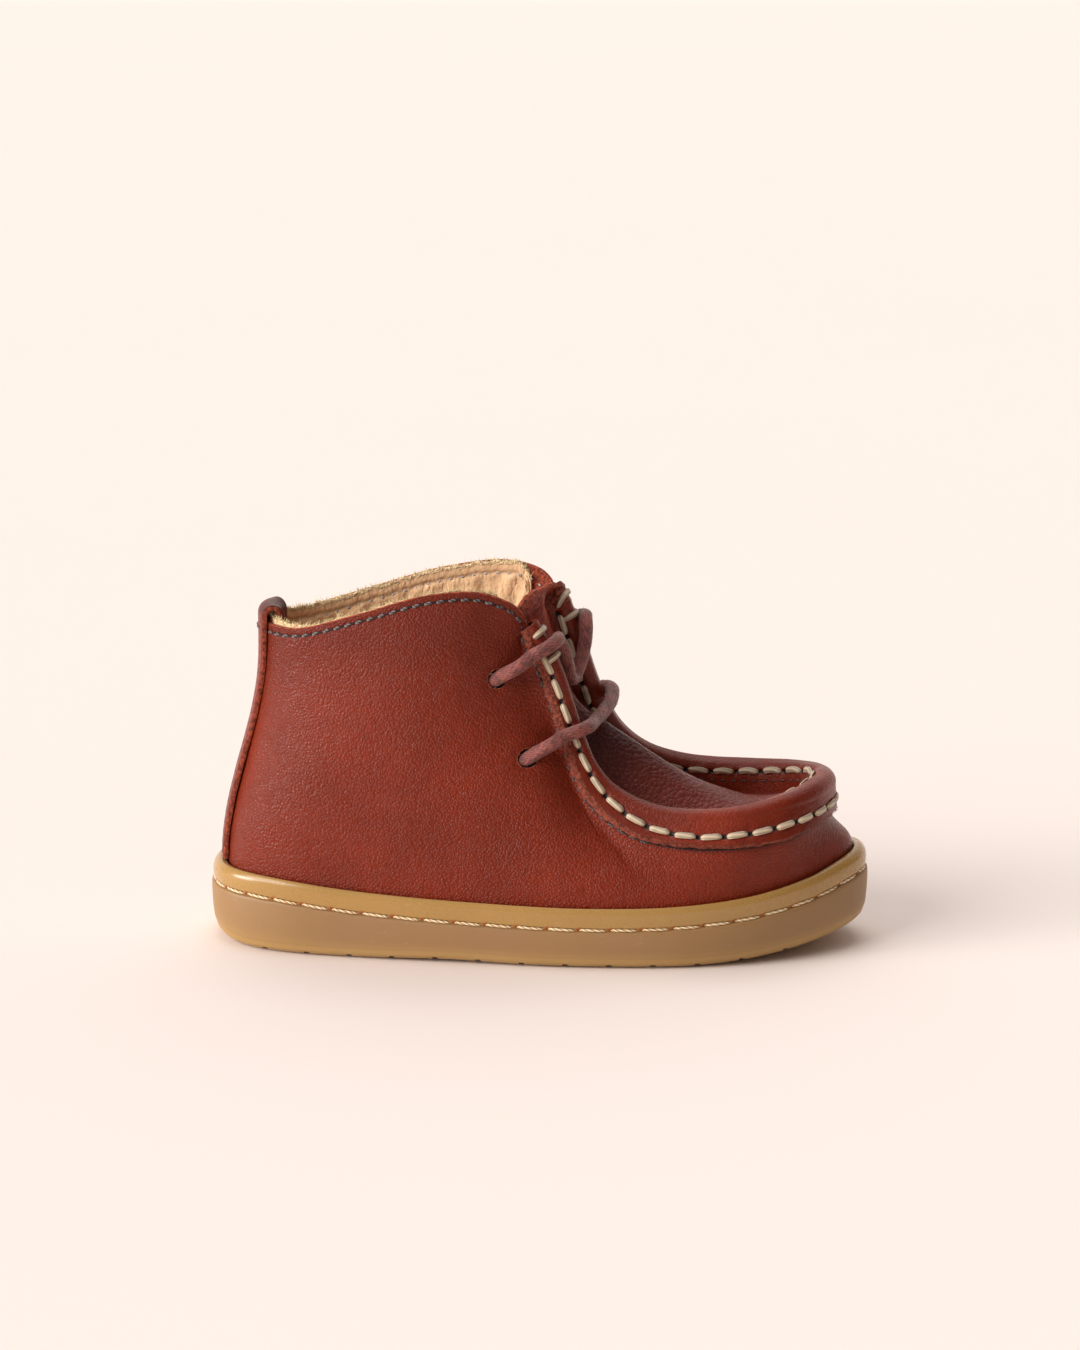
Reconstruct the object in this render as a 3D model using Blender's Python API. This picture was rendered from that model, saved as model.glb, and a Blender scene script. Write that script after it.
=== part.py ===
"""Child's moccasin-toe ankle boot, right foot, standing empty on its sole.

Axes: +X to the toe, +Y to the wearer's left (the inner side of the foot), +Z up.
The origin is on the ground under the middle of the sole.
Sizes in the tables are millimetres; MM turns them into Blender's metres when a mesh is made.

Every surface comes from three curves: the sole's outline in plan, the top line (collar, then moccasin
seam, then toe) and the spine of the apron. A station round the shoe is an angle in degrees: 0 at the
middle of the heel, 90 half way along the outer side, 180 at the toe, then back along the inner side.
"""

from typing import NamedTuple

import bmesh
import bpy
import numpy as np
from mathutils import Vector

MM = 0.001
GAP = 0.3

# Driving sizes of the sole
SOLE_LENGTH = 159.4
HEEL_LIFT = 1.8
TOE_SPRING = 6.0
WAIST_ARCH = 0.5
HEEL_FLAT_START = -65.0
WAIST_START = -42.0
WAIST_END = 2.0
FOREFOOT_FLAT_END = 34.0
CUP_FLOOR = 5.6
SOLE_COLUMNS = 84

# Tread: straight grooves across the sole
TREAD_PITCH = 10.4
TREAD_FIRST = -64.5
TREAD_LAST = 62.0
TREAD_WIDTH = 1.3
TREAD_DEPTH = 1.0
TREAD_REACH = 80.0

# Leather
WALL = 2.2
SEAM_WALL = 1.2
APRON_WALL = 1.2
BINDING_WALL = 1.2
STRIP_WALL = 1.3
INSOLE_THICKNESS = 2.0
INSOLE_COLUMNS = 60
UPPER_COLUMNS = 88
WALL_ROWS = 6
LOWER_PULL = 0.36
UPPER_PULL = 0.36
EDGE_TURN = 0.15

# Moccasin seam: the edges of upper and apron stand side by side under a folded binding
FOLD_RADIUS = 2.35
EDGE_DEPTH = 2.85
SEAM_EDGE_OUT = 1.35
OUTER_SPLAY = 0.32
INNER_LEG = 5.4
INNER_SPLAY = 0.55
SEAM_STATIONS = 54
FOLD_STEPS = 6

# Apron and tongue: below the seam the sheet turns from its standing edge into the apron
APRON_STEPS = 5
APRON_STATIONS = 28
APRON_TURN_IN = 2.1
APRON_TURN_DOWN = 1.5
APRON_FOOT_DOWN = 0.3
APRON_HOLLOW = 0.3
APRON_CREST = 0.4
TONGUE_SHARES = (1.0, 0.5)
WELD = 1e-6

# Heel strip: its half width is counted in rows of the top line
STRIP_SPREAD = 0.76
STRIP_LINES = 5
STRIP_FOOT = 0.9
STRIP_RISE = 2.0
STRIP_INSIDE = 6.0
TURN_STEPS = 6

# Lace and eyelets
LACE_DIAMETER = 3.3
EYELET_DIAMETER = 4.2
EYELET_CUT = 12.0
EYELET_SLANT = np.radians(42)
LACE_STEP = 2.8
LACE_INSIDE = 4.6
LACE_CLEAR = 0.55
LACE_BOW = 0.8
LACE_RUN = 0.55
WRAP_STEPS = 4
WRAP_START = -8
OUTER_ROWS = (4, 12)
INNER_ROWS = (26, 34)

# How finely a curve or a face is searched
SEARCH_STEPS = 160
FINE_STEPS = 800
ROW_STEP = 0.05
DEGREE_STEP = 0.5

# Sole outline in plan and heights round it: distance to each side of the centre line, height of the
# rim's inner edge, and how far the upper stands inside the outline.
OUTLINE_COLUMNS = ("degrees", "outer", "inner", "rim", "inset")
OUTLINE = (
    (0, 0.0, 0.0, 18.9, 4.3),
    (20, 14.3, 14.3, 18.9, 3.2),
    (40, 22.3, 22.3, 18.2, 2.6),
    (60, 25.9, 23.2, 16.3, 2.4),
    (80, 28.6, 24.0, 15.1, 2.4),
    (100, 30.0, 28.0, 14.5, 2.4),
    (115, 28.6, 30.0, 14.9, 2.4),
    (130, 24.4, 28.3, 16.4, 2.5),
    (145, 17.4, 23.6, 19.0, 2.9),
    (160, 8.6, 16.0, 21.8, 3.4),
    (180, -3.0, 3.0, 23.2, 3.8),
)

# Section of the sole's rim, stitch groove and side, from the rim's inner edge outwards and down: a share of
# the way in to that edge, a distance further in, and a distance below the rim.
RIM_COLUMNS = ("share", "inset", "drop")
RIM = (
    (1.0, 0.0, 0.2),
    (1.0, -0.5, -0.3),
    (0.5, 0.0, -0.3),
    (0.225, 0.0, 0.7),
    (0.0, 0.4, 2.2),
    (0.0, 0.5, 4.0),
    (0.0, 1.2, 4.5),
    (0.0, 1.2, 5.0),
    (0.0, 0.1, 5.5),
)
SIDE_MIDDLE = 0.5

# Rounded lower edge of the sole and upper edge of the insole: distance in from the side, and height
EDGE_COLUMNS = ("inset", "height")
TREAD_EDGE = ((0.5, 3.2), (1.4, 1.3), (2.6, 0.0))
INSOLE_EDGE = ((0.0, 0.0), (0.0, INSOLE_THICKNESS - 0.6), (0.6, INSOLE_THICKNESS))

# Top line of the upper, from the middle of the heel round the outer side to the toe, and the same for
# the inner side: the collar's edge where seam is 0, and the crest of the seam where it is 1.
# base is the station of the sole that a section stands on; lean tips the edge in towards the foot;
# leg is how far the binding's outer side reaches below the crest.
TOP_COLUMNS = ("x", "y", "z", "base", "lean", "seam", "leg")
OUTER_TOP = (
    (-65.9, 0.0, 77.5, 0, 0, 0, 6),
    (-63.3, -7.0, 77.1, 17, 2, 0, 6),
    (-55.0, -13.0, 77.8, 34, 4, 0, 6),
    (-40.0, -17.3, 82.6, 52, 5, 0, 6),
    (-26.5, -18.4, 86.8, 66, 5, 0, 6),
    (-14.5, -17.4, 87.9, 76, 5, 0, 5),
    (-6.5, -15.2, 85.7, 83, 3, 0.1, 3.2),
    (-2.0, -13.2, 83.8, 88, 1, 0.6, 3.2),
    (0.6, -11.8, 80.8, 92, 0, 1, 4.2),
    (6.0, -11.8, 71.0, 96, 0, 1, 5.0),
    (9.3, -12.3, 61.5, 99.5, 0, 1, 5.1),
    (12.2, -13.3, 53.0, 103, 2, 1, 5.4),
    (15.0, -14.5, 47.0, 106.5, 5, 1, 6.2),
    (19.6, -16.0, 42.0, 110, 9, 1, 7.4),
    (28.0, -17.8, 38.2, 115, 14, 1, 8.6),
    (38.0, -18.8, 37.1, 122, 16, 1, 9.0),
    (48.5, -18.2, 37.9, 131, 13, 1, 9.2),
    (58.0, -15.2, 39.8, 142, 4, 1, 9.2),
    (65.6, -8.6, 41.4, 157, -9, 1, 8.6),
    (69.4, 1.0, 42.0, 180, -14, 1, 8.6),
)
INNER_TOP = (
    (67.0, 9.8, 41.6, 203, -9, 1, 8.6),
    (60.2, 16.0, 40.7, 218, 4, 1, 8.6),
    (51.0, 19.2, 39.9, 228, 13, 1, 8.6),
    (41.5, 19.9, 39.9, 237, 16, 1, 8.6),
    (32.5, 19.1, 41.3, 244, 14, 1, 8),
    (25.6, 17.6, 44.2, 249.5, 9, 1, 7.2),
    (20.4, 16.1, 48.5, 253.5, 5, 1, 6.2),
    (16.8, 14.7, 54.0, 257, 2, 1, 5.4),
    (13.4, 13.3, 62.5, 260.5, 0, 1, 5.1),
    (10.2, 12.5, 72.5, 264, 0, 1, 5.0),
    (5.8, 12.4, 83.6, 268, 0, 1, 4.2),
    (2.4, 13.8, 87.4, 272, 1, 0.6, 3.2),
    (-3.5, 15.8, 88.8, 277, 3, 0.1, 3.2),
    (-12.5, 17.6, 89.0, 284, 5, 0, 5),
    (-26.5, 18.6, 86.4, 294, 5, 0, 6),
    (-41.0, 17.4, 82.2, 308, 5, 0, 6),
    (-55.5, 13.1, 78.4, 326, 4, 0, 6),
    (-63.3, 7.0, 77.4, 343, 2, 0, 6),
)
OUTER_SEAM_ROW = 8
INNER_SEAM_ROW = 30

# Spine of the apron and tongue: its height over the centre line for each seam row, counted from the
# seam's top end to the toe. The rows nearest the toe share the last point.
SPINE_COLUMNS = ("x", "z")
SPINE = (
    (1.6, 81.5),
    (3.8, 71.8),
    (5.8, 63.4),
    (10.6, 57.4),
    (17.0, 53.2),
    (24.0, 48.6),
    (32.0, 43.2),
    (39.5, 38.8),
    (47.0, 35.8),
    (51.0, 34.9),
    (51.0, 34.9),
    (51.0, 34.9),
)
SPINE_Y = 0.6

# Free top edge of the tongue, from the outer corner to the inner one
TONGUE_COLUMNS = ("x", "y", "z")
TONGUE_TOP = (
    (-3.2, -11.0, 83.6),
    (-1.5, -6.0, 85.0),
    (0.6, 0.2, 85.7),
    (3.0, 5.6, 85.9),
    (5.5, 11.0, 87.4),
)


class Eyelet(NamedTuple):
    """Where an eyelet is on its quarter, and the top line row at which its lace crosses the seam's crest."""

    x: float
    z: float
    crest_row: float


LOWER_EYELETS = (Eyelet(x=-0.3, z=49.5, crest_row=10.75), Eyelet(x=3.2, z=51.0, crest_row=27.45))
UPPER_EYELETS = (Eyelet(x=-7.6, z=67.9, crest_row=8.6), Eyelet(x=-3.6, z=69.4, crest_row=29.3))
LOWER_WRAP = 100
UPPER_WRAP = 112

# The slack loop between the two rolls, from the outer roll down to the tongue and up to the inner roll
LOOP_COLUMNS = ("x", "y", "z")
LOOP = (
    (7.2, -6.6, 70.6),
    (7.5, -3.6, 66.6),
    (8.3, -0.4, 63.7),
    (9.2, 2.8, 65.0),
    (10.3, 5.4, 68.6),
    (11.0, 7.6, 72.6),
)


def column(table, names, name):
    return np.array([row[names.index(name)] for row in table], float)


def through(knots, values, at):
    """A smooth curve through the rows of a table: a cubic with its slopes taken from the neighbours."""
    knots = np.asarray(knots, float)
    values = np.asarray(values, float)
    at = np.clip(at, knots[0], knots[-1])
    slopes = np.gradient(values, knots, axis=0)
    left = np.clip(np.searchsorted(knots, at, side="right") - 1, 0, len(knots) - 2)
    span = knots[left + 1] - knots[left]
    t = (at - knots[left]) / span
    shape = (-1,) + (1,) * (values.ndim - 1)
    t, span = np.reshape(t, shape), np.reshape(span, shape)
    start, end = values[left], values[left + 1]
    leave, arrive = slopes[left] * span, slopes[left + 1] * span
    rise = 3 * (end - start) - 2 * leave - arrive
    bend = 2 * (start - end) + leave + arrive
    return ((bend * t + rise) * t + leave) * t + start


def unit(vectors):
    return vectors / np.linalg.norm(vectors, axis=-1, keepdims=True)


# The sole's outline


def round_outline(name, degrees):
    """A column of the outline table, continued round the heel and the toe."""
    stations = column(OUTLINE, OUTLINE_COLUMNS, "degrees")
    if name == "side":
        outer = -column(OUTLINE, OUTLINE_COLUMNS, "outer")
        inner = column(OUTLINE, OUTLINE_COLUMNS, "inner")
    else:
        outer = inner = column(OUTLINE, OUTLINE_COLUMNS, name)
    knots = np.concatenate([-stations[3:0:-1], stations, 360 - stations[-2::-1], 360 + stations[1:4]])
    values = np.concatenate([inner[3:0:-1], outer, inner[-2::-1], outer[1:4]])
    return through(knots, values, np.mod(degrees, 360))


def outline_point(degrees):
    x = -0.5 * SOLE_LENGTH * np.cos(np.radians(degrees))
    return np.stack([x, round_outline("side", degrees)], axis=-1)


def outward_from(degrees):
    """The direction out of the outline in plan."""
    along = unit(outline_point(degrees + DEGREE_STEP) - outline_point(degrees - DEGREE_STEP))
    return np.stack([along[:, 1], -along[:, 0]], axis=-1)


def inset_outline(degrees, inset):
    """Points that lie a given distance inside the outline."""
    return outline_point(degrees) - outward_from(degrees) * np.reshape(inset, (-1, 1))


def ground_clearance(x):
    """Height of the tread over the ground: heel lift, waist and toe spring, flat between them."""
    half = 0.5 * SOLE_LENGTH
    heel = np.clip((HEEL_FLAT_START - x) / (half + HEEL_FLAT_START), 0, 1)
    waist = np.clip((x - WAIST_START) / (WAIST_END - WAIST_START), 0, 1)
    toe = np.clip((x - FOREFOOT_FLAT_END) / (half - FOREFOOT_FLAT_END), 0, 1)
    return HEEL_LIFT * heel**2 + WAIST_ARCH * np.sin(np.pi * waist) ** 2 + TOE_SPRING * toe**1.9


def at_height(plan, height):
    return np.column_stack([plan, np.broadcast_to(height, len(plan))])


# The upper


def top_line(rows):
    """Top line values at row numbers, which may fall between the rows of the tables."""
    table = np.array(OUTER_TOP + INNER_TOP, float)
    turn = np.zeros(len(TOP_COLUMNS))
    turn[TOP_COLUMNS.index("base")] = 360
    table = np.vstack([table[-3:] - turn, table, table[:4] + turn])
    knots = np.arange(-3, len(table) - 3)
    return through(knots, table, rows)


TOP_ROWS = len(OUTER_TOP) + len(INNER_TOP)


def top_frames(rows):
    """The top line's points, the direction out of the edge, the direction out of the shoe, and the rest."""
    values = top_line(rows)
    ahead = np.mod(rows + ROW_STEP, TOP_ROWS)
    behind = np.mod(rows - ROW_STEP, TOP_ROWS)
    along = unit(top_line(ahead)[:, :3] - top_line(behind)[:, :3])
    outward = at_height(outward_from(values[:, 3]), 0)
    outward = unit(outward - np.sum(outward * along, axis=1, keepdims=True) * along)
    up = np.cross(outward, along)
    lean = np.radians(values[:, 4:5])
    edge = np.cos(lean) * up - np.sin(lean) * outward
    side = np.cos(lean) * outward + np.sin(lean) * up
    return values[:, :3], edge, side, values


def even_rows(first, last, count):
    """Row numbers that divide a stretch of the top line into equal lengths."""
    fine = np.linspace(first, last, FINE_STEPS)
    points = top_line(np.mod(fine, TOP_ROWS))[:, :3]
    length = np.concatenate([[0], np.cumsum(np.linalg.norm(np.diff(points, axis=0), axis=1))])
    return np.interp(np.linspace(0, length[-1], count), length, fine)


def wall_profile(rows):
    """Sections of the upper's outer face, each from the cup's floor to the top edge."""
    crest, edge, side, values = top_frames(rows)
    base, seam, leg = values[:, 3], values[:, 5:6], values[:, 6:7]
    plan = inset_outline(base, round_outline("inset", base))
    foot = at_height(plan, ground_clearance(plan[:, 0]) + CUP_FLOOR + GAP)
    rim = at_height(plan, round_outline("rim", base))
    splay = SEAM_EDGE_OUT + OUTER_SPLAY * (leg - EDGE_DEPTH)
    top = crest + seam * (SEAM_EDGE_OUT * side - EDGE_DEPTH * edge)
    knee = crest + seam * splay * side - leg * edge
    rise = knee - rim
    reach = np.linalg.norm(rise, axis=1, keepdims=True)
    lean = np.radians(values[:, 4:5])
    face = np.cos(lean) * at_height(outward_from(base), 0) + np.sin(lean) * np.array([0, 0, 1])
    in_wall = unit(rise - np.sum(rise * face, axis=1, keepdims=True) * face)
    arrive = unit(EDGE_TURN * edge + (1 - EDGE_TURN) * in_wall)
    lower = rim + np.array([0, 0, LOWER_PULL]) * reach
    upper = knee - UPPER_PULL * reach * arrive
    rings = [foot]
    for t in np.linspace(0, 1, WALL_ROWS + 1):
        s = 1 - t
        rings.append(s**3 * rim + 3 * s * s * t * lower + 3 * s * t * t * upper + t**3 * knee)
    rings.append(0.5 * (knee + top))
    rings.append(top)
    return np.array(rings)


def wall_thickness(rows):
    """Wall for each ring of a section: thinner where it stands inside the seam."""
    seam = np.clip(top_line(rows)[:, 5], 0, 1)
    rings = WALL_ROWS + 4
    thinning = np.clip((np.arange(rings) - WALL_ROWS) / 3, 0, 1)
    return WALL - (WALL - SEAM_WALL) * np.outer(thinning, seam)


def grid_normals(grid, closed):
    """Unit normals of a grid of points, outward where the second index runs heel, outer side, toe."""
    up = np.gradient(grid, axis=0)
    if closed:
        along = np.roll(grid, -1, axis=1) - np.roll(grid, 1, axis=1)
    else:
        along = np.gradient(grid, axis=1)
    return unit(np.cross(along, up))


# Meshes


def material(name, colour, roughness, metallic=0.0):
    made = bpy.data.materials.new(name)
    made.use_nodes = True
    shader = made.node_tree.nodes["Principled BSDF"]
    shader.inputs["Base Color"].default_value = (*colour, 1)
    shader.inputs["Roughness"].default_value = roughness
    shader.inputs["Metallic"].default_value = metallic
    return made


def add_object(name, shape, finish, closed=True):
    mesh = bpy.data.meshes.new(name)
    if closed:
        bmesh.ops.recalc_face_normals(shape, faces=shape.faces)
    shape.to_mesh(mesh)
    shape.free()
    mesh.materials.append(finish)
    mesh.shade_smooth()
    mesh.set_sharp_from_angle(angle=np.radians(40))
    made = bpy.data.objects.new(name, mesh)
    bpy.context.scene.collection.objects.link(made)
    return made


def add_ring(shape, points):
    return [shape.verts.new(Vector(point) * MM) for point in points]


def skin(shape, lower, upper, closed):
    """Faces between two rings of vertices."""
    count = len(lower)
    for i in range(count if closed else count - 1):
        j = (i + 1) % count
        corners = [lower[i], lower[j], upper[j], upper[i]]
        corners = [v for k, v in enumerate(corners) if v not in corners[:k]]
        shape.faces.new(corners)


def skin_all(shape, rings, closed, joined_ends=False):
    pairs = list(zip(rings, rings[1:]))
    if joined_ends:
        pairs.append((rings[-1], rings[0]))
    for lower, upper in pairs:
        skin(shape, lower, upper, closed)


def cap_across(shape, ring):
    """Closes a ring round the sole with faces that run straight across from side to side."""
    half = len(ring) // 2
    for i in range(half):
        corners = [ring[i], ring[i + 1], ring[-i - 1], ring[-i % len(ring)]]
        corners = [v for k, v in enumerate(corners) if v not in corners[:k]]
        shape.faces.new(corners)


def shell(name, outer, inner, closed, finish):
    """A leather piece from its two faces, closed along its edges."""
    shape = bmesh.new()
    outside = [add_ring(shape, ring) for ring in outer]
    inside = [add_ring(shape, ring) for ring in inner]
    skin_all(shape, outside + inside[::-1], closed, joined_ends=True)
    if not closed:
        for end in (0, -1):
            for k in range(len(outer) - 1):
                a, b = outside[k][end], outside[k + 1][end]
                c, d = inside[k + 1][end], inside[k][end]
                shape.faces.new([a, b, c, d])
    return add_object(name, shape, finish)


# The pieces


def cupsole(finish):
    degrees = np.arange(SOLE_COLUMNS) * 360 / SOLE_COLUMNS
    rim = round_outline("rim", degrees)
    inner = round_outline("inset", degrees) - GAP
    shape = bmesh.new()
    rings = []
    for share, inset, drop in RIM:
        plan = inset_outline(degrees, share * inner + inset)
        rings.append(add_ring(shape, at_height(plan, rim - drop)))
    rings.append(add_ring(shape, at_height(outline_point(degrees), SIDE_MIDDLE * rim)))
    for inset, height in TREAD_EDGE:
        plan = inset_outline(degrees, np.full(len(degrees), inset))
        rings.append(add_ring(shape, at_height(plan, ground_clearance(plan[:, 0]) + height)))
    plan = inset_outline(degrees, inner)
    floor = add_ring(shape, at_height(plan, ground_clearance(plan[:, 0]) + CUP_FLOOR))
    skin_all(shape, [floor] + rings, closed=True)
    cap_across(shape, rings[-1])
    cap_across(shape, floor)
    return add_object("cupsole", shape, finish)


def tread_grooves():
    """Cutter: bars across the sole, each at the height that the tread has there."""
    shape = bmesh.new()
    for x in np.arange(TREAD_FIRST, TREAD_LAST, TREAD_PITCH):
        made = bmesh.ops.create_cube(shape, size=1)["verts"]
        depth = TREAD_DEPTH + ground_clearance(x)
        bmesh.ops.scale(shape, vec=Vector((TREAD_WIDTH, TREAD_REACH, 2 * depth)) * MM, verts=made)
        bmesh.ops.translate(shape, vec=Vector((x, 0, 0)) * MM, verts=made)
    return add_cutter("tread_grooves", shape)


def add_cutter(name, shape):
    mesh = bpy.data.meshes.new(name)
    shape.to_mesh(mesh)
    shape.free()
    made = bpy.data.objects.new(name, mesh)
    bpy.context.scene.collection.objects.link(made)
    made.hide_render = True
    made.display_type = "WIRE"
    return made


def cut(target, cutter):
    boolean = target.modifiers.new("cut_" + cutter.name, "BOOLEAN")
    boolean.operation = "DIFFERENCE"
    boolean.solver = "EXACT"
    boolean.object = cutter


def insole(finish):
    degrees = np.arange(INSOLE_COLUMNS) * 360 / INSOLE_COLUMNS
    edge = round_outline("inset", degrees) + WALL + 2 * GAP
    shape = bmesh.new()
    rings = []
    for inset, height in INSOLE_EDGE:
        plan = inset_outline(degrees, edge + inset)
        floor = ground_clearance(plan[:, 0]) + CUP_FLOOR + GAP
        rings.append(add_ring(shape, at_height(plan, floor + height)))
    skin_all(shape, rings, closed=True)
    cap_across(shape, rings[0])
    cap_across(shape, rings[-1])
    return add_object("insole", shape, finish)


def upper(finish):
    rows = even_rows(0, TOP_ROWS, UPPER_COLUMNS + 1)[:-1]
    outer = wall_profile(rows)
    inward = grid_normals(outer, closed=True)
    inner = outer - inward * wall_thickness(rows)[:, :, None]
    inner[0, :, 2] = outer[0, :, 2]
    return shell("upper", outer, inner, True, finish)


def seam_path():
    return even_rows(OUTER_SEAM_ROW, INNER_SEAM_ROW, SEAM_STATIONS)


def binding_section(leg):
    """The folded binding in its own plane, as (out of the shoe, out of the edge), right round its wall."""
    turns = np.radians(np.linspace(0, 180, FOLD_STEPS + 1))
    fold = np.column_stack([np.cos(turns), np.sin(turns)])
    faces = []
    for offset in (0.5 * BINDING_WALL, -0.5 * BINDING_WALL):
        outer_end = (FOLD_RADIUS + OUTER_SPLAY * (leg - EDGE_DEPTH) + offset, -leg)
        inner_end = (-FOLD_RADIUS - INNER_SPLAY - offset, -INNER_LEG)
        arch = (FOLD_RADIUS + offset) * fold - np.array([0, EDGE_DEPTH])
        faces.append(np.vstack([outer_end, arch, inner_end]))
    return np.vstack([faces[0], faces[1][::-1]])


def seam_binding(finish):
    crest, edge, side, values = top_frames(seam_path())
    shape = bmesh.new()
    rings = []
    for k, leg in enumerate(values[:, 6]):
        section = binding_section(leg)
        rings.append(add_ring(shape, crest[k] + section[:, :1] * side[k] + section[:, 1:] * edge[k]))
    skin_all(shape, rings, closed=True)
    for ring in (rings[0], rings[-1]):
        half = len(ring) // 2
        for i in range(half - 1):
            shape.faces.new([ring[i], ring[i + 1], ring[-i - 2], ring[-i - 1]])
    return add_object("seam_binding", shape, finish)


def spine_point(from_top):
    knots = np.arange(len(SPINE))
    x = through(knots, column(SPINE, SPINE_COLUMNS, "x"), from_top)
    z = through(knots, column(SPINE, SPINE_COLUMNS, "z"), from_top)
    return np.column_stack([x, np.full(len(x), SPINE_Y), z])


def apron_side(rows, from_top):
    """Top face of one side of the apron: from the edge that stands in the seam, in to the spine."""
    crest, edge, side, _ = top_frames(rows)
    spine = spine_point(from_top)
    lip = crest - SEAM_EDGE_OUT * side - EDGE_DEPTH * edge
    foot = crest - (SEAM_EDGE_OUT + INNER_SPLAY) * side - (INNER_LEG + APRON_FOOT_DOWN) * edge
    turn = crest - (SEAM_EDGE_OUT + APRON_TURN_IN) * side - (INNER_LEG + APRON_TURN_DOWN) * edge
    leave = turn - APRON_HOLLOW * np.linalg.norm(spine - turn, axis=1, keepdims=True) * side
    level = spine + APRON_CREST * (turn - spine) * np.array([1, 1, 0])
    rings = [lip, foot, turn]
    for t in np.linspace(0, 1, APRON_STEPS + 1)[1:]:
        s = 1 - t
        rings.append(s**3 * turn + 3 * s * s * t * leave + 3 * s * t * t * level + t**3 * spine)
    return np.array(rings)


def tongue_end(section, share):
    """A section of the tongue past the seam's top end: share 0 is at the seam's end, 1 is the free edge."""
    length = np.concatenate([[0], np.cumsum(np.linalg.norm(np.diff(section, axis=0), axis=1))])
    edge = through(np.linspace(0, 1, len(TONGUE_TOP)), TONGUE_TOP, length / length[-1])
    return (1 - share) * section + share * edge


def apron_and_tongue(finish):
    """One sheet from the tongue's free edge to the toe, with its edges standing up inside the seam."""
    from_top = np.linspace(0, len(SPINE) - 1, APRON_STATIONS + 1)
    outer = apron_side(OUTER_SEAM_ROW + from_top, from_top)
    inner = apron_side(INNER_SEAM_ROW - from_top, from_top)
    across = [np.vstack([outer[:, k], inner[::-1, k]]) for k in range(len(from_top))]
    across = [tongue_end(across[0], share) for share in TONGUE_SHARES] + across
    shape = bmesh.new()
    skin_all(shape, [add_ring(shape, line) for line in across[::-1]], closed=False)
    bmesh.ops.remove_doubles(shape, verts=shape.verts, dist=WELD)
    made = add_object("apron_and_tongue", shape, finish, closed=False)
    wall = made.modifiers.new("leather", "SOLIDIFY")
    wall.thickness = APRON_WALL * MM
    wall.offset = -1
    wall.use_even_offset = True
    return made


def heel_strip(finish):
    """A strip up the middle of the heel that folds over the collar and ends inside it."""
    width = np.linspace(-STRIP_SPREAD, STRIP_SPREAD, STRIP_LINES)
    rows = np.mod(width, TOP_ROWS)
    wall = wall_profile(rows)[1:]
    out = grid_normals(wall, closed=False)
    faces = []
    for lift in (GAP, GAP + STRIP_WALL):
        face = list(wall[:-1] + lift * out[:-1])
        face[0][:, 2] += STRIP_FOOT
        top = wall[-1]
        level = unit(out[-1] * np.array([1, 1, 0]))
        radius = 0.5 * WALL + lift
        centre = top - 0.5 * WALL * level + np.array([0, 0, STRIP_RISE])
        for turn in np.radians(np.linspace(0, 180, TURN_STEPS + 1)):
            face.append(centre + radius * (np.cos(turn) * level + np.array([0, 0, np.sin(turn)])))
        face.append(face[-1] - np.array([0, 0, STRIP_INSIDE]))
        faces.append(np.array(face))
    return shell("heel_strip", faces[1], faces[0], False, finish)


def quarter_point(x, z, rows):
    """The point of the quarter's outer face seen at x and z from the side, and its outward direction."""
    fine = np.linspace(*rows, SEARCH_STEPS)
    wall = wall_profile(fine)
    out = grid_normals(wall, closed=False)
    steps = np.linspace(0, len(wall) - 1, SEARCH_STEPS)
    points = through(np.arange(len(wall)), wall, steps)
    outs = unit(through(np.arange(len(wall)), out, steps))
    far = (points[:, :, 0] - x) ** 2 + (points[:, :, 2] - z) ** 2
    nearest = np.unravel_index(np.argmin(far), far.shape)
    return points[nearest], outs[nearest]


def lace_half(eyelet, rows, wrap_end):
    """A lace from inside the shoe, out of an eyelet, along the quarter and round the crest of the seam."""
    hole, out = quarter_point(eyelet.x, eyelet.z, rows)
    crest, edge, side, _ = (each[0] for each in top_frames(np.array([eyelet.crest_row])))
    centre = crest - EDGE_DEPTH * edge
    clear = 0.5 * LACE_DIAMETER + LACE_CLEAR
    around = FOLD_RADIUS + 0.5 * BINDING_WALL + clear
    turns = np.radians(np.linspace(WRAP_START, wrap_end, WRAP_STEPS + 1))
    wrap = [centre + around * (np.cos(a) * side + np.sin(a) * edge) for a in turns]
    ahead = wrap[0] - hole
    ahead = unit(ahead - np.dot(ahead, out) * out)
    slant = unit(np.cos(EYELET_SLANT) * ahead + np.sin(EYELET_SLANT) * out)
    tip = hole - LACE_INSIDE * slant
    lift = hole + slant * clear / np.sin(EYELET_SLANT)
    run = lift + LACE_RUN * (wrap[0] - lift) + LACE_BOW * out
    return [tip, hole, lift, run] + wrap, slant


def smooth_route(points, step):
    """Evenly spaced points on a smooth curve through the route's own points."""
    points = np.array(points)
    knots = np.concatenate([[0], np.cumsum(np.linalg.norm(np.diff(points, axis=0), axis=1))])
    fine = through(knots, points, np.linspace(0, knots[-1], FINE_STEPS))
    length = np.concatenate([[0], np.cumsum(np.linalg.norm(np.diff(fine, axis=0), axis=1))])
    even = np.linspace(0, length[-1], int(round(length[-1] / step)) + 1)
    return np.column_stack([np.interp(even, length, fine[:, axis]) for axis in range(3)])


def cord(name, points, finish):
    curve = bpy.data.curves.new(name, "CURVE")
    curve.dimensions = "3D"
    curve.bevel_depth = 0.5 * LACE_DIAMETER * MM
    curve.bevel_resolution = 2
    curve.use_fill_caps = True
    spline = curve.splines.new("POLY")
    spline.points.add(len(points) - 1)
    for target, point in zip(spline.points, points):
        target.co = (*(Vector(point) * MM), 1)
    curve.materials.append(finish)
    made = bpy.data.objects.new(name, curve)
    bpy.context.scene.collection.objects.link(made)
    return made


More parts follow.
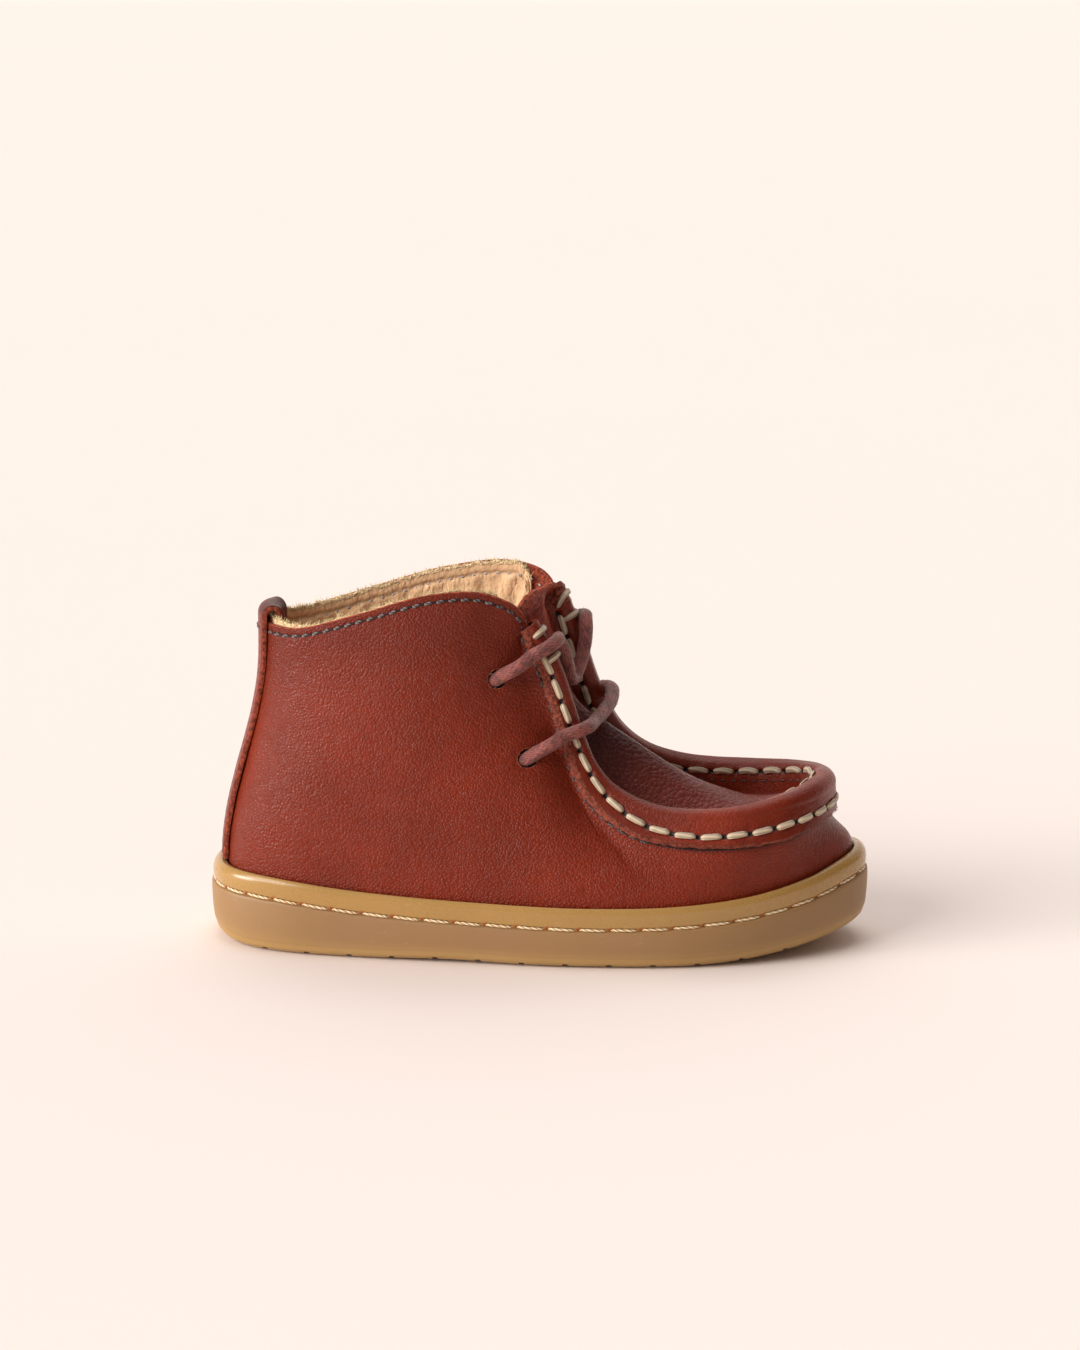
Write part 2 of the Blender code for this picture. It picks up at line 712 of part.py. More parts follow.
def eyelet_cutter(name, hole, slant):
    shape = bmesh.new()
    radius = 0.5 * EYELET_DIAMETER * MM
    bmesh.ops.create_cone(
        shape, cap_ends=True, segments=16, radius1=radius, radius2=radius, depth=EYELET_CUT * MM
    )
    turn = Vector(slant).to_track_quat("Z", "Y").to_matrix()
    bmesh.ops.rotate(shape, verts=shape.verts, matrix=turn)
    bmesh.ops.translate(shape, verts=shape.verts, vec=Vector(hole) * MM)
    return add_cutter(name, shape)


def laces(quarters, finish):
    """The lower lace straight across, the upper one slack, and the eyelets that they go through."""
    for name, eyelets, wrap_end, middle in (
        ("lace_lower_bar", LOWER_EYELETS, LOWER_WRAP, []),
        ("lace_upper_loop", UPPER_EYELETS, UPPER_WRAP, list(LOOP)),
    ):
        halves = []
        for which, eyelet, rows in zip(("outer", "inner"), eyelets, (OUTER_ROWS, INNER_ROWS)):
            route, slant = lace_half(eyelet, rows, wrap_end)
            cut(quarters, eyelet_cutter(f"{name}_{which}_eyelet", route[1], slant))
            halves.append(route)
        cord(name, smooth_route(halves[0] + middle + halves[1][::-1], LACE_STEP), finish)


def main():
    for old in list(bpy.data.objects):
        bpy.data.objects.remove(old)
    leather = material("cognac_leather", (0.28, 0.062, 0.03), 0.42)
    apron_leather = material("apron_leather", (0.2, 0.045, 0.025), 0.42)
    rubber = material("gum_rubber", (0.5, 0.3, 0.13), 0.45)
    sock = material("sock_leather", (0.6, 0.42, 0.24), 0.7)
    cotton = material("lace_cotton", (0.3, 0.13, 0.11), 0.8)
    sole = cupsole(rubber)
    cut(sole, tread_grooves())
    insole(sock)
    quarters = upper(leather)
    apron_and_tongue(apron_leather)
    seam_binding(leather)
    heel_strip(leather)
    laces(quarters, cotton)


main()
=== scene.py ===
"""Looks of a child's moccasin-toe ankle boot, right foot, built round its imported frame.

Axes: +X to the toe, +Y to the inner side of the foot, +Z up; the origin is on the ground under the
middle of the sole. Tables and shape functions work in millimetres, and MM turns them into metres when
a mesh is made. Every surface comes from the sole's outline in plan, the top line (collar, then moccasin
seam, then toe) and the spine of the apron. A station round the sole is an angle in degrees, 0 at the
middle of the heel, 90 half way along the outer side and 180 at the toe. A station round the top is a row
of the top line's tables, which may fall between two of them.
"""

from typing import NamedTuple

import bmesh
import bpy
import numpy as np
from bpy.props import FloatProperty, FloatVectorProperty, PointerProperty
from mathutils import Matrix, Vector, noise


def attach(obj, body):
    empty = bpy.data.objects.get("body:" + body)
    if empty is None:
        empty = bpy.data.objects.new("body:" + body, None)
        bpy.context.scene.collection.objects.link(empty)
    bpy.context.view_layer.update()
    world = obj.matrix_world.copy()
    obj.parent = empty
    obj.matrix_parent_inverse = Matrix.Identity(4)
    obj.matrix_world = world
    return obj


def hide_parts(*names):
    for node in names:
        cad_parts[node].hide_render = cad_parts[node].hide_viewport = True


bl_info = {
    "name": "Moccasin-toe Ankle Boot",
    "version": (1, 0, 0),
    "blender": (4, 5, 0),
    "location": "3D View > Sidebar > Boot",
    "description": "Builds the leather, rubber, thread and lace of a child's moccasin-toe boot",
    "category": "Add Mesh",
}

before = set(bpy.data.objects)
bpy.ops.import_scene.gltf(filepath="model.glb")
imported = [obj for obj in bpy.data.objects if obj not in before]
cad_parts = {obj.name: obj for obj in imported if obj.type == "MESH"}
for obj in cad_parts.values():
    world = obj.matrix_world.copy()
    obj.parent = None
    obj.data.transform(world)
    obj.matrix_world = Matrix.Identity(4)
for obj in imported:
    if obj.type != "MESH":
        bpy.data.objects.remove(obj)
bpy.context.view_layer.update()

MM = 0.001
WELD = 1e-6
GAP = 0.3

# Sole
SOLE_LENGTH = 159.4
HEEL_LIFT = 1.8
TOE_SPRING = 6.0
WAIST_ARCH = 0.5
HEEL_FLAT_START = -65.0
WAIST_START = -42.0
WAIST_END = 2.0
FOREFOOT_FLAT_END = 34.0
CUP_FLOOR = 5.6
SOLE_COLUMNS = 640
FOOTBED_COLUMNS = 240
TREAD_PITCH = 10.4
TREAD_FIRST = -64.5
TREAD_LAST = 62.0
TREAD_WIDTH = 1.3
TREAD_DEPTH = 1.0
TREAD_REACH = 80.0
FINE_TREAD_WIDTH = 0.8
FINE_TREAD_DEPTH = 0.5
FINE_TREAD_REACH = 0.62

# Leather
WALL = 2.2
SEAM_WALL = 1.2
OUTER_SHARE = 0.6
APRON_WALL = 1.2
BINDING_WALL = 1.2
STRIP_WALL = 1.3
UPPER_COLUMNS = 400
UPPER_LEVELS = 44
EASE_PASSES = 60
WALL_ROWS = 18
KNEE = WALL_ROWS + 1
TOP = WALL_ROWS + 3
LOWER_PULL = 0.36
UPPER_PULL = 0.36
EDGE_TURN = 0.15
LINING_STITCHES = 2.6
LINING_STITCHES_START = 0.9
LINING_STITCHES_END = 7.2
COLLAR_STITCHES_START = 0.82
BESIDE_BINDING_START = 5.6
BESIDE_BINDING_END = 14.2
COLLAR_STEPS = 500
LINING_STEPS = 300
SEAM_START_OUTER = 1.2
SEAM_START_INNER = 3.4
LINING_FIBRES = 1600
TONGUE_FIBRES = 320
BINDING_FIBRES = 1300
TORN_FIBRES = 90

# Moccasin seam
FOLD_RADIUS = 2.35
EDGE_DEPTH = 2.85
SEAM_EDGE_OUT = 1.35
OUTER_SPLAY = 0.32
INNER_LEG = 5.4
INNER_SPLAY = 0.55
BINDING_STATIONS = 900
SEAM_TOP_ROW = 8.7
TOE_ROWS = (17, 27)
APRON_STITCH_ROWS = (10, 27)

# Apron and tongue
APRON_STEPS = 5
APRON_TURN_IN = 2.1
APRON_TURN_DOWN = 1.5
APRON_FOOT_DOWN = 0.3
APRON_HOLLOW = 0.3
APRON_CREST = 0.4
APRON_STATIONS = 190
APRON_PASSES = 40

# Heel strip
STRIP_SPREAD = 0.76
STRIP_FOOT = 0.9
STRIP_RISE = 2.0
STRIP_INSIDE = 6.0
STRIP_COLUMNS = 21
STRIP_LEVELS = 64
STRIP_SEWN = 72

# Lace and eyelets
LACE_DIAMETER = 3.3
EYELET_DIAMETER = 4.3
BORE_UP = 0.8
BORE_BACK = 0.85
EYELET_CUT = 12.0
EYELET_REACH = 7.0
EYELET_SLANT = np.radians(42)
LACE_STEP = 2.8
LACE_INSIDE = 4.6
LACE_CLEAR = 0.2
LACE_BOW = 0.8
LACE_RUN = 0.55
LACE_RING = 0.34
LACE_SIDES = 32
LACE_FIBRES = 850
WRAP_STEPS = 4
WRAP_START = -8
OUTER_ROWS = (4, 12)
INNER_ROWS = (26, 34)

# Stitches and fibres
STITCH_SINK = 0.55
FIBRE_ROOT = 0.1
FIBRE_TAPER = (0.5, 0.42, 0.3, 0.05)

SEARCH_STEPS = 160
FINE_STEPS = 800
ROW_STEP = 0.05
DEGREE_STEP = 0.5

# Sole outline in plan and heights round it: distance to each side of the centre line, height of the
# rim's inner edge, and how far the upper stands inside the outline.
OUTLINE_COLUMNS = ("degrees", "outer", "inner", "rim", "inset")
OUTLINE = (
    (0, 0.0, 0.0, 18.9, 4.3),
    (20, 14.3, 14.3, 18.9, 3.2),
    (40, 22.3, 22.3, 18.2, 2.6),
    (60, 25.9, 23.2, 16.3, 2.4),
    (80, 28.6, 24.0, 15.1, 2.4),
    (100, 30.0, 28.0, 14.5, 2.4),
    (115, 28.6, 30.0, 14.9, 2.4),
    (130, 24.4, 28.3, 16.4, 2.5),
    (145, 17.4, 23.6, 19.0, 2.9),
    (160, 8.6, 16.0, 21.8, 3.4),
    (180, -3.0, 3.0, 23.2, 3.8),
)

# Section of the sole's rim roll, stitch groove and the lip under it, from the rim's inner edge outwards
# and down: a share of the way in to that edge, a distance further in, and a distance below the rim.
RIM = (
    (1.0, 0.0, 0.2),
    (1.0, -0.5, -0.3),
    (0.5, 0.0, -0.3),
    (0.225, 0.0, 0.7),
    (0.0, 0.4, 2.2),
    (0.0, 0.45, 3.6),
    (0.0, 0.6, 4.2),
    (0.0, 1.3, 4.55),
    (0.0, 1.3, 4.95),
    (0.0, 0.3, 5.2),
    (0.0, 0.05, 5.7),
    (0.0, 0.0, 6.6),
)
RIM_STEPS = 5
GROOVE_DROP = 4.75

# Lower edge of the sole's side, with the ledge where the tread is glued on: distance in from the
# outline, and height over the tread
SIDE_FOOT = (
    (0.45, 3.4),
    (0.75, 2.5),
    (1.05, 1.75),
    (1.1, 1.5),
    (1.3, 1.4),
    (1.42, 1.22),
    (1.9, 0.75),
    (2.8, 0.32),
    (4.0, 0.0),
)

# Edge of the footbed, from its foot up: distance in from its outline, and height
FOOTBED_EDGE = ((0.0, 0.0), (0.0, 0.8), (0.05, 1.3), (0.3, 1.7), (0.8, 1.92), (1.6, 2.0))

# Top line of the upper, from the middle of the heel round the outer side to the toe, and the same for
# the inner side: the collar's edge where seam is 0, and the crest of the seam where it is 1.
# base is the station of the sole that a section stands on; lean tips the edge in towards the foot;
# leg is how far the binding's outer side reaches below the crest.
OUTER_TOP = (
    (-65.9, 0.0, 77.5, 0, 0, 0, 6),
    (-63.3, -7.0, 77.1, 17, 2, 0, 6),
    (-55.0, -13.0, 77.8, 34, 4, 0, 6),
    (-40.0, -17.3, 82.6, 52, 5, 0, 6),
    (-26.5, -18.4, 86.8, 66, 5, 0, 6),
    (-14.5, -17.4, 87.9, 76, 5, 0, 5),
    (-6.5, -15.2, 85.7, 83, 3, 0.1, 3.2),
    (-2.0, -13.2, 83.8, 88, 1, 0.6, 3.2),
    (0.6, -11.8, 80.8, 92, 0, 1, 4.2),
    (6.0, -11.8, 71.0, 96, 0, 1, 5.0),
    (9.3, -12.3, 61.5, 99.5, 0, 1, 5.1),
    (12.2, -13.3, 53.0, 103, 2, 1, 5.4),
    (15.0, -14.5, 47.0, 106.5, 5, 1, 6.2),
    (19.6, -16.0, 42.0, 110, 9, 1, 7.4),
    (28.0, -17.8, 38.2, 115, 14, 1, 8.6),
    (38.0, -18.8, 37.1, 122, 16, 1, 9.0),
    (48.5, -18.2, 37.9, 131, 13, 1, 9.2),
    (58.0, -15.2, 39.8, 142, 4, 1, 9.2),
    (65.6, -8.6, 41.4, 157, -9, 1, 8.6),
    (69.4, 1.0, 42.0, 180, -14, 1, 8.6),
)
INNER_TOP = (
    (67.0, 9.8, 41.6, 203, -9, 1, 8.6),
    (60.2, 16.0, 40.7, 218, 4, 1, 8.6),
    (51.0, 19.2, 39.9, 228, 13, 1, 8.6),
    (41.5, 19.9, 39.9, 237, 16, 1, 8.6),
    (32.5, 19.1, 41.3, 244, 14, 1, 8),
    (25.6, 17.6, 44.2, 249.5, 9, 1, 7.2),
    (20.4, 16.1, 48.5, 253.5, 5, 1, 6.2),
    (16.8, 14.7, 54.0, 257, 2, 1, 5.4),
    (13.4, 13.3, 62.5, 260.5, 0, 1, 5.1),
    (10.2, 12.5, 72.5, 264, 0, 1, 5.0),
    (5.8, 12.4, 83.6, 268, 0, 1, 4.2),
    (2.4, 13.8, 87.4, 272, 1, 0.6, 3.2),
    (-3.5, 15.8, 88.8, 277, 3, 0.1, 3.2),
    (-12.5, 17.6, 89.0, 284, 5, 0, 5),
    (-26.5, 18.6, 86.4, 294, 5, 0, 6),
    (-41.0, 17.4, 82.2, 308, 5, 0, 6),
    (-55.5, 13.1, 78.4, 326, 4, 0, 6),
    (-63.3, 7.0, 77.4, 343, 2, 0, 6),
)
BASE_COLUMN = 3
TOP_ROWS = len(OUTER_TOP) + len(INNER_TOP)
OUTER_SEAM_ROW = 8
INNER_SEAM_ROW = 30
BINDING_END_ROW = 30.3

# Spine of the apron and tongue, over the centre line, for each seam row from its top end to the toe
SPINE = (
    (1.6, 81.5),
    (3.8, 71.8),
    (5.8, 63.4),
    (10.6, 57.4),
    (17.0, 53.2),
    (24.0, 48.6),
    (32.0, 43.2),
    (39.5, 38.8),
    (47.0, 35.8),
    (51.0, 34.9),
    (51.0, 34.9),
    (51.0, 34.9),
)
SPINE_Y = 0.6

# Free top edge of the tongue, from the outer corner to the inner one
TONGUE_TOP = (
    (-3.2, -11.0, 83.6),
    (-1.5, -6.0, 85.0),
    (0.6, 0.2, 85.7),
    (2.6, 5.6, 85.4),
    (4.4, 10.4, 84.6),
)


class Eyelet(NamedTuple):
    """Where an eyelet is on its quarter, and the top line row at which its lace crosses the seam."""

    x: float
    z: float
    crest_row: float


LOWER_EYELETS = (Eyelet(x=-0.3, z=49.5, crest_row=10.75), Eyelet(x=3.2, z=51.0, crest_row=27.45))
UPPER_EYELETS = (Eyelet(x=-7.6, z=67.9, crest_row=8.6), Eyelet(x=-3.6, z=69.4, crest_row=29.3))
LOWER_WRAP = 100
UPPER_WRAP = 112

# The slack loop between the two rolls
LOOP = (
    (7.2, -6.6, 70.6),
    (7.5, -3.6, 66.6),
    (8.3, -0.4, 63.7),
    (9.2, 2.8, 65.0),
    (10.3, 5.4, 68.6),
    (11.0, 7.6, 72.6),
)

# Seam details for each row from 8 to 19, the same on both sides: how far below the crest the cream
# stitches run on the outer side and on the inner side, and how wide the binding's raw edge shows.
SEAM_COLUMNS = ("row", "outer", "inner", "raw")
SEAM = (
    (8, 2.7, 4.2, 1.5),
    (9, 2.7, 4.2, 1.7),
    (10, 2.5, 4.3, 1.7),
    (11, 2.4, 4.4, 1.7),
    (12, 2.5, 3.8, 1.6),
    (13, 3.5, 3.2, 1.4),
    (14, 5.5, 2.8, 0.8),
    (15, 6.6, 2.3, 0.5),
    (16, 6.6, 2.1, 0.35),
    (17, 6.3, 2.1, 0.3),
    (18, 5.9, 2.1, 0.3),
    (19, 5.8, 2.3, 0.3),
)

# The stitches over the fold at the seam's two top ends: the row of their ends, and that of their crest
SEAM_WRAPS = ((8.32, 8.28), (8.92, 8.85), (29.42, 29.45), (29.66, 29.9))


def through(knots, values, at):
    """A smooth curve through the rows of a table: a cubic with its slopes taken from the neighbours."""
    knots = np.asarray(knots, float)
    values = np.asarray(values, float)
    at = np.clip(at, knots[0], knots[-1])
    slopes = np.gradient(values, knots, axis=0)
    left = np.clip(np.searchsorted(knots, at, side="right") - 1, 0, len(knots) - 2)
    span = knots[left + 1] - knots[left]
    t = (at - knots[left]) / span
    shape = np.shape(t) + (1,) * (values.ndim - 1)
    t, span = np.reshape(t, shape), np.reshape(span, shape)
    start, end = values[left], values[left + 1]
    leave, arrive = slopes[left] * span, slopes[left + 1] * span
    rise = 3 * (end - start) - 2 * leave - arrive
    bend = 2 * (start - end) + leave + arrive
    return ((bend * t + rise) * t + leave) * t + start


def unit(vectors):
    return vectors / np.linalg.norm(vectors, axis=-1, keepdims=True)


def running_length(points):
    """Distance along a line of points, from its first one."""
    steps = np.linalg.norm(np.diff(points, axis=0), axis=-1)
    return np.concatenate([np.zeros((1,) + steps.shape[1:]), np.cumsum(steps, axis=0)])


def refine(rings, at):
    """Rings between the given ones: at counts them from 0, and the curve is smooth for their spacing."""
    knots = running_length(rings).mean(axis=1)
    return through(knots, rings, np.interp(at, np.arange(len(rings)), knots))


def bell(distance, width):
    return np.exp(-((distance / width) ** 2))


def ramp(value, start, span):
    """0 up to start, then evenly up to 1 at the end of the span."""
    return np.clip((value - start) / span, 0, 1)


def ripple(points, size, seed=0.0):
    """Smooth noise from -1 to 1 at points in millimetres, with bumps of about the given size."""
    flat = np.reshape(points, (-1, 3)) / size + seed
    values = np.array([noise.noise(Vector(point)) for point in flat])
    return values.reshape(np.shape(points)[:-1])


# The sole's outline


def round_outline(name, degrees):
    """A column of the outline table, continued round the heel and the toe."""
    table = np.array(OUTLINE, float)
    stations = table[:, 0]
    if name == "side":
        outer = -table[:, OUTLINE_COLUMNS.index("outer")]
        inner = table[:, OUTLINE_COLUMNS.index("inner")]
    else:
        outer = inner = table[:, OUTLINE_COLUMNS.index(name)]
    knots = np.concatenate([-stations[3:0:-1], stations, 360 - stations[-2::-1], 360 + stations[1:4]])
    values = np.concatenate([inner[3:0:-1], outer, inner[-2::-1], outer[1:4]])
    return through(knots, values, np.mod(degrees, 360))


def outline_point(degrees):
    x = -0.5 * SOLE_LENGTH * np.cos(np.radians(degrees))
    return np.stack([x, round_outline("side", degrees)], axis=-1)


def outward_from(degrees):
    """The direction out of the outline in plan."""
    along = unit(outline_point(degrees + DEGREE_STEP) - outline_point(degrees - DEGREE_STEP))
    return np.stack([along[:, 1], -along[:, 0]], axis=-1)


def inset_outline(degrees, inset):
    """Points that lie a given distance inside the outline."""
    return outline_point(degrees) - outward_from(degrees) * np.reshape(inset, (-1, 1))


def ground_clearance(x):
    """Height of the tread over the ground: heel lift, waist and toe spring, flat between them."""
    half = 0.5 * SOLE_LENGTH
    heel = ramp(-x, -HEEL_FLAT_START, half + HEEL_FLAT_START)
    waist = ramp(x, WAIST_START, WAIST_END - WAIST_START)
    toe = ramp(x, FOREFOOT_FLAT_END, half - FOREFOOT_FLAT_END)
    return HEEL_LIFT * heel**2 + WAIST_ARCH * np.sin(np.pi * waist) ** 2 + TOE_SPRING * toe**1.9


def at_height(plan, height):
    return np.column_stack([plan, np.broadcast_to(height, len(plan))])


def even_degrees(count):
    """Stations round the outline at equal distances, the first one repeated at the end."""
    fine = np.linspace(0, 360, 4 * FINE_STEPS)
    length = running_length(outline_point(fine))
    return np.interp(np.linspace(0, length[-1], count + 1), length, fine), length[-1]


# The upper


def top_line(rows):
    """Top line values at row numbers, which may fall between the rows of the tables."""
    table = np.array(OUTER_TOP + INNER_TOP, float)
    turn = np.zeros(table.shape[1])
    turn[BASE_COLUMN] = 360
    table = np.vstack([table[-3:] - turn, table, table[:4] + turn])
    return through(np.arange(-3, len(table) - 3), table, rows)


def top_frames(rows):
    """The top line's points, the direction out of the edge, the direction out of the shoe, and the rest."""
    values = top_line(rows)
    ahead = np.mod(rows + ROW_STEP, TOP_ROWS)
    behind = np.mod(rows - ROW_STEP, TOP_ROWS)
    along = unit(top_line(ahead)[:, :3] - top_line(behind)[:, :3])
    outward = at_height(outward_from(values[:, 3]), 0)
    outward = unit(outward - np.sum(outward * along, axis=1, keepdims=True) * along)
    up = np.cross(outward, along)
    lean = np.radians(values[:, 4:5])
    edge = np.cos(lean) * up - np.sin(lean) * outward
    side = np.cos(lean) * outward + np.sin(lean) * up
    return values[:, :3], edge, side, values


def from_heel(rows):
    """How many rows of the top line lie between each row and the middle of the heel, on either side."""
    rows = np.mod(rows, TOP_ROWS)
    return np.minimum(rows, TOP_ROWS - rows)


def even_rows(first, last, count):
    """Row numbers that divide a stretch of the top line into equal lengths."""
    fine = np.linspace(first, last, FINE_STEPS)
    length = running_length(top_line(np.mod(fine, TOP_ROWS))[:, :3])
    return np.interp(np.linspace(0, length[-1], count), length, fine)


def wall_profile(rows):
    """Sections of the upper's outer face, each from the cup's floor to the top edge."""
    crest, edge, side, values = top_frames(rows)
    base, seam, leg = values[:, 3], values[:, 5:6], values[:, 6:7]
    plan = inset_outline(base, round_outline("inset", base))
    foot = at_height(plan, ground_clearance(plan[:, 0]) + CUP_FLOOR + GAP)
    rim = at_height(plan, round_outline("rim", base))
    splay = SEAM_EDGE_OUT + OUTER_SPLAY * (leg - EDGE_DEPTH)
    top = crest + seam * (SEAM_EDGE_OUT * side - EDGE_DEPTH * edge)
    knee = crest + seam * splay * side - leg * edge
    rise = knee - rim
    reach = np.linalg.norm(rise, axis=1, keepdims=True)
    lean = np.radians(values[:, 4:5])
    face = np.cos(lean) * at_height(outward_from(base), 0) + np.sin(lean) * np.array([0, 0, 1])
    in_wall = unit(rise - np.sum(rise * face, axis=1, keepdims=True) * face)
    arrive = unit(EDGE_TURN * edge + (1 - EDGE_TURN) * in_wall)
    lower = rim + np.array([0, 0, LOWER_PULL]) * reach
    upper = knee - UPPER_PULL * reach * arrive
    rings = [foot]
    for t in np.linspace(0, 1, WALL_ROWS + 1):
        s = 1 - t
        rings.append(s**3 * rim + 3 * s * s * t * lower + 3 * s * t * t * upper + t**3 * knee)
    rings.append(0.5 * (knee + top))
    rings.append(top)
    return np.array(rings)


def grid_normals(grid, closed):
    """Unit normals of a grid of points, outward where the second index runs heel, outer side, toe."""
    up = np.gradient(grid, axis=0)
    if closed:
        ring = grid[:, :-1]
        along = np.roll(ring, -1, axis=1) - np.roll(ring, 1, axis=1)
        along = np.concatenate([along, along[:, :1]], axis=1)
    else:
        along = np.gradient(grid, axis=1)
    return unit(np.cross(along, up))


def wall_thickness(rows, levels):
    """Wall at each level of a section: thinner where it stands inside the seam."""
    seam = np.clip(top_line(rows)[:, 5], 0, 1)
    thinning = ramp(levels, KNEE - 3, 5)
    return WALL - (WALL - SEAM_WALL) * np.outer(thinning, seam)


def on_wall(rows, below, lift=0.0):
    """Points on the upper's outer face a distance below its top edge, and the directions out of it."""
    levels = np.linspace(6, TOP, 90)
    near = np.concatenate([rows - 0.02, rows, rows + 0.02])
    face = refine(wall_profile(np.mod(near, TOP_ROWS)), levels)
    count = len(rows)
    length = running_length(face[::-1])
    spots = []
    for k in range(3 * count):
        want = np.broadcast_to(below, count)[k % count]
        spots.append([np.interp(want, length[:, k], face[::-1, k, axis]) for axis in range(3)])
    spots = np.array(spots).reshape(3, count, 3)
    outs = []
    for k in range(count):
        want = np.broadcast_to(below, count)[k]
        j = np.clip(np.searchsorted(length[:, count + k], want), 1, len(levels) - 1)
        up = face[::-1][j - 1, count + k] - face[::-1][j, count + k]
        outs.append(np.cross(spots[2, k] - spots[0, k], up))
    outs = unit(np.array(outs))
    return spots[1] + lift * outs, outs


# The seam


def seam_value(name, rows):
    """A column of the seam table, mirrored for the rows of the inner side."""
    table = np.array(SEAM, float)
    return through(table[:, 0], table[:, SEAM_COLUMNS.index(name)], from_heel(rows))


def binding_face(frames, below, outer, lift=0.0):
    """Points on one face of the binding a distance below the crest, and the directions out of it."""
    crest, edge, side, _ = frames
    radius = FOLD_RADIUS + 0.5 * BINDING_WALL
    below = np.broadcast_to(below, len(crest)).astype(float)
    on_fold = below < EDGE_DEPTH
    turn = np.where(on_fold, np.arcsin(np.clip((EDGE_DEPTH - below) / radius, -1, 1)), 0)
    slope = OUTER_SPLAY if outer else INNER_SPLAY / (INNER_LEG - EDGE_DEPTH)
    out = np.where(on_fold, radius * np.cos(turn), radius + slope * (below - EDGE_DEPTH))
    tilt = np.where(on_fold, turn, np.arctan(slope))
    way = 1 if outer else -1
    normal = way * np.cos(tilt)[:, None] * side + np.sin(tilt)[:, None] * edge
    point = crest + way * out[:, None] * side - below[:, None] * edge
    return point + np.reshape(lift, (-1, 1)) * normal, normal


def spine_point(from_top):
    line = through(np.arange(len(SPINE)), SPINE, from_top)
    x, z = np.minimum(line[:, 0], SPINE[-1][0]), np.maximum(line[:, 1], SPINE[-1][1])
    return np.column_stack([x, np.full(len(line), SPINE_Y), z])


def apron_side(rows, from_top):
    """Top face of one side of the apron: from the edge that stands in the seam, in to the spine."""
    crest, edge, side, _ = top_frames(rows)
    spine = spine_point(from_top)
    lip = crest - SEAM_EDGE_OUT * side - EDGE_DEPTH * edge
    foot = crest - (SEAM_EDGE_OUT + INNER_SPLAY) * side - (INNER_LEG + APRON_FOOT_DOWN) * edge
    turn = crest - (SEAM_EDGE_OUT + APRON_TURN_IN) * side - (INNER_LEG + APRON_TURN_DOWN) * edge
    leave = turn - APRON_HOLLOW * np.linalg.norm(spine - turn, axis=1, keepdims=True) * side
    level = spine + APRON_CREST * (turn - spine) * np.array([1, 1, 0])
    rings = [lip, foot, turn]
    for t in np.linspace(0, 1, APRON_STEPS + 1)[1:]:
        s = 1 - t
        rings.append(s**3 * turn + 3 * s * s * t * leave + 3 * s * t * t * level + t**3 * spine)
    return np.array(rings)


def tongue_end(section, share):
    """A section of the tongue past the seam's top end: share 0 is at the seam's end, 1 is the free edge."""
    length = running_length(section)
    edge = through(np.linspace(0, 1, len(TONGUE_TOP)), TONGUE_TOP, length / length[-1])
    return (1 - share) * section + share * edge


# The lace's route


def quarter_point(x, z, rows):
    """The point of the quarter's outer face seen at x and z from the side, and its outward direction."""
    fine = np.linspace(*rows, SEARCH_STEPS)
    wall = wall_profile(fine)
    out = grid_normals(wall, closed=False)
    steps = np.linspace(0, len(wall) - 1, SEARCH_STEPS)
    points = through(np.arange(len(wall)), wall, steps)
    outs = unit(through(np.arange(len(wall)), out, steps))
    far = (points[:, :, 0] - x) ** 2 + (points[:, :, 2] - z) ** 2
    nearest = np.unravel_index(np.argmin(far), far.shape)
    return points[nearest], outs[nearest]


def lace_half(eyelet, rows, wrap_end):
    """A lace from inside the shoe, out of an eyelet, along the quarter and round the crest of the seam."""
    hole, out = quarter_point(eyelet.x, eyelet.z, rows)
    crest, edge, side, _ = (each[0] for each in top_frames(np.array([eyelet.crest_row])))
    centre = crest - EDGE_DEPTH * edge
    clear = 0.5 * LACE_DIAMETER + LACE_CLEAR
    around = FOLD_RADIUS + 0.5 * BINDING_WALL + clear
    turns = np.radians(np.linspace(WRAP_START, wrap_end, WRAP_STEPS + 1))
    wrap = [centre + around * (np.cos(a) * side + np.sin(a) * edge) for a in turns]
    ahead = wrap[0] - hole
    ahead = unit(ahead - np.dot(ahead, out) * out)
    slant = unit(np.cos(EYELET_SLANT) * ahead + np.sin(EYELET_SLANT) * out)
    tip = hole - LACE_INSIDE * slant
    lift = hole + slant * clear / np.sin(EYELET_SLANT)
    run = lift + LACE_RUN * (wrap[0] - lift) + LACE_BOW * out
    bore = unit(slant + BORE_UP * out)
    return [tip, hole, lift, run] + wrap, bore


def smooth_route(points, step):
    """Evenly spaced points on a smooth curve through the route's own points."""
    points = np.array(points)
    knots = running_length(points)
    fine = through(knots, points, np.linspace(0, knots[-1], FINE_STEPS))
    length = running_length(fine)
    even = np.linspace(0, length[-1], int(round(length[-1] / step)) + 1)
    return np.column_stack([np.interp(even, length, fine[:, axis]) for axis in range(3)])


class Hole(NamedTuple):
    """An eyelet's middle on the quarter's face, and the direction that it is punched in."""

    middle: np.ndarray
    way: np.ndarray


def eyelet_holes(with_lace=False):
    """The four eyelets as they are punched or, for the lining, as their laces lie in them."""
    holes = []
    for eyelets, wrap in ((LOWER_EYELETS, LOWER_WRAP), (UPPER_EYELETS, UPPER_WRAP)):
        for eyelet, rows in zip(eyelets, (OUTER_ROWS, INNER_ROWS)):
            route, bore = lace_half(eyelet, rows, wrap)
            back = route[0] - route[1]
            if with_lace:
                holes.append(Hole(route[1], unit(back)))
                continue
            back = unit(back - np.dot(back, bore) * bore)
            holes.append(Hole(route[1] + BORE_BACK * back, bore))
    return holes


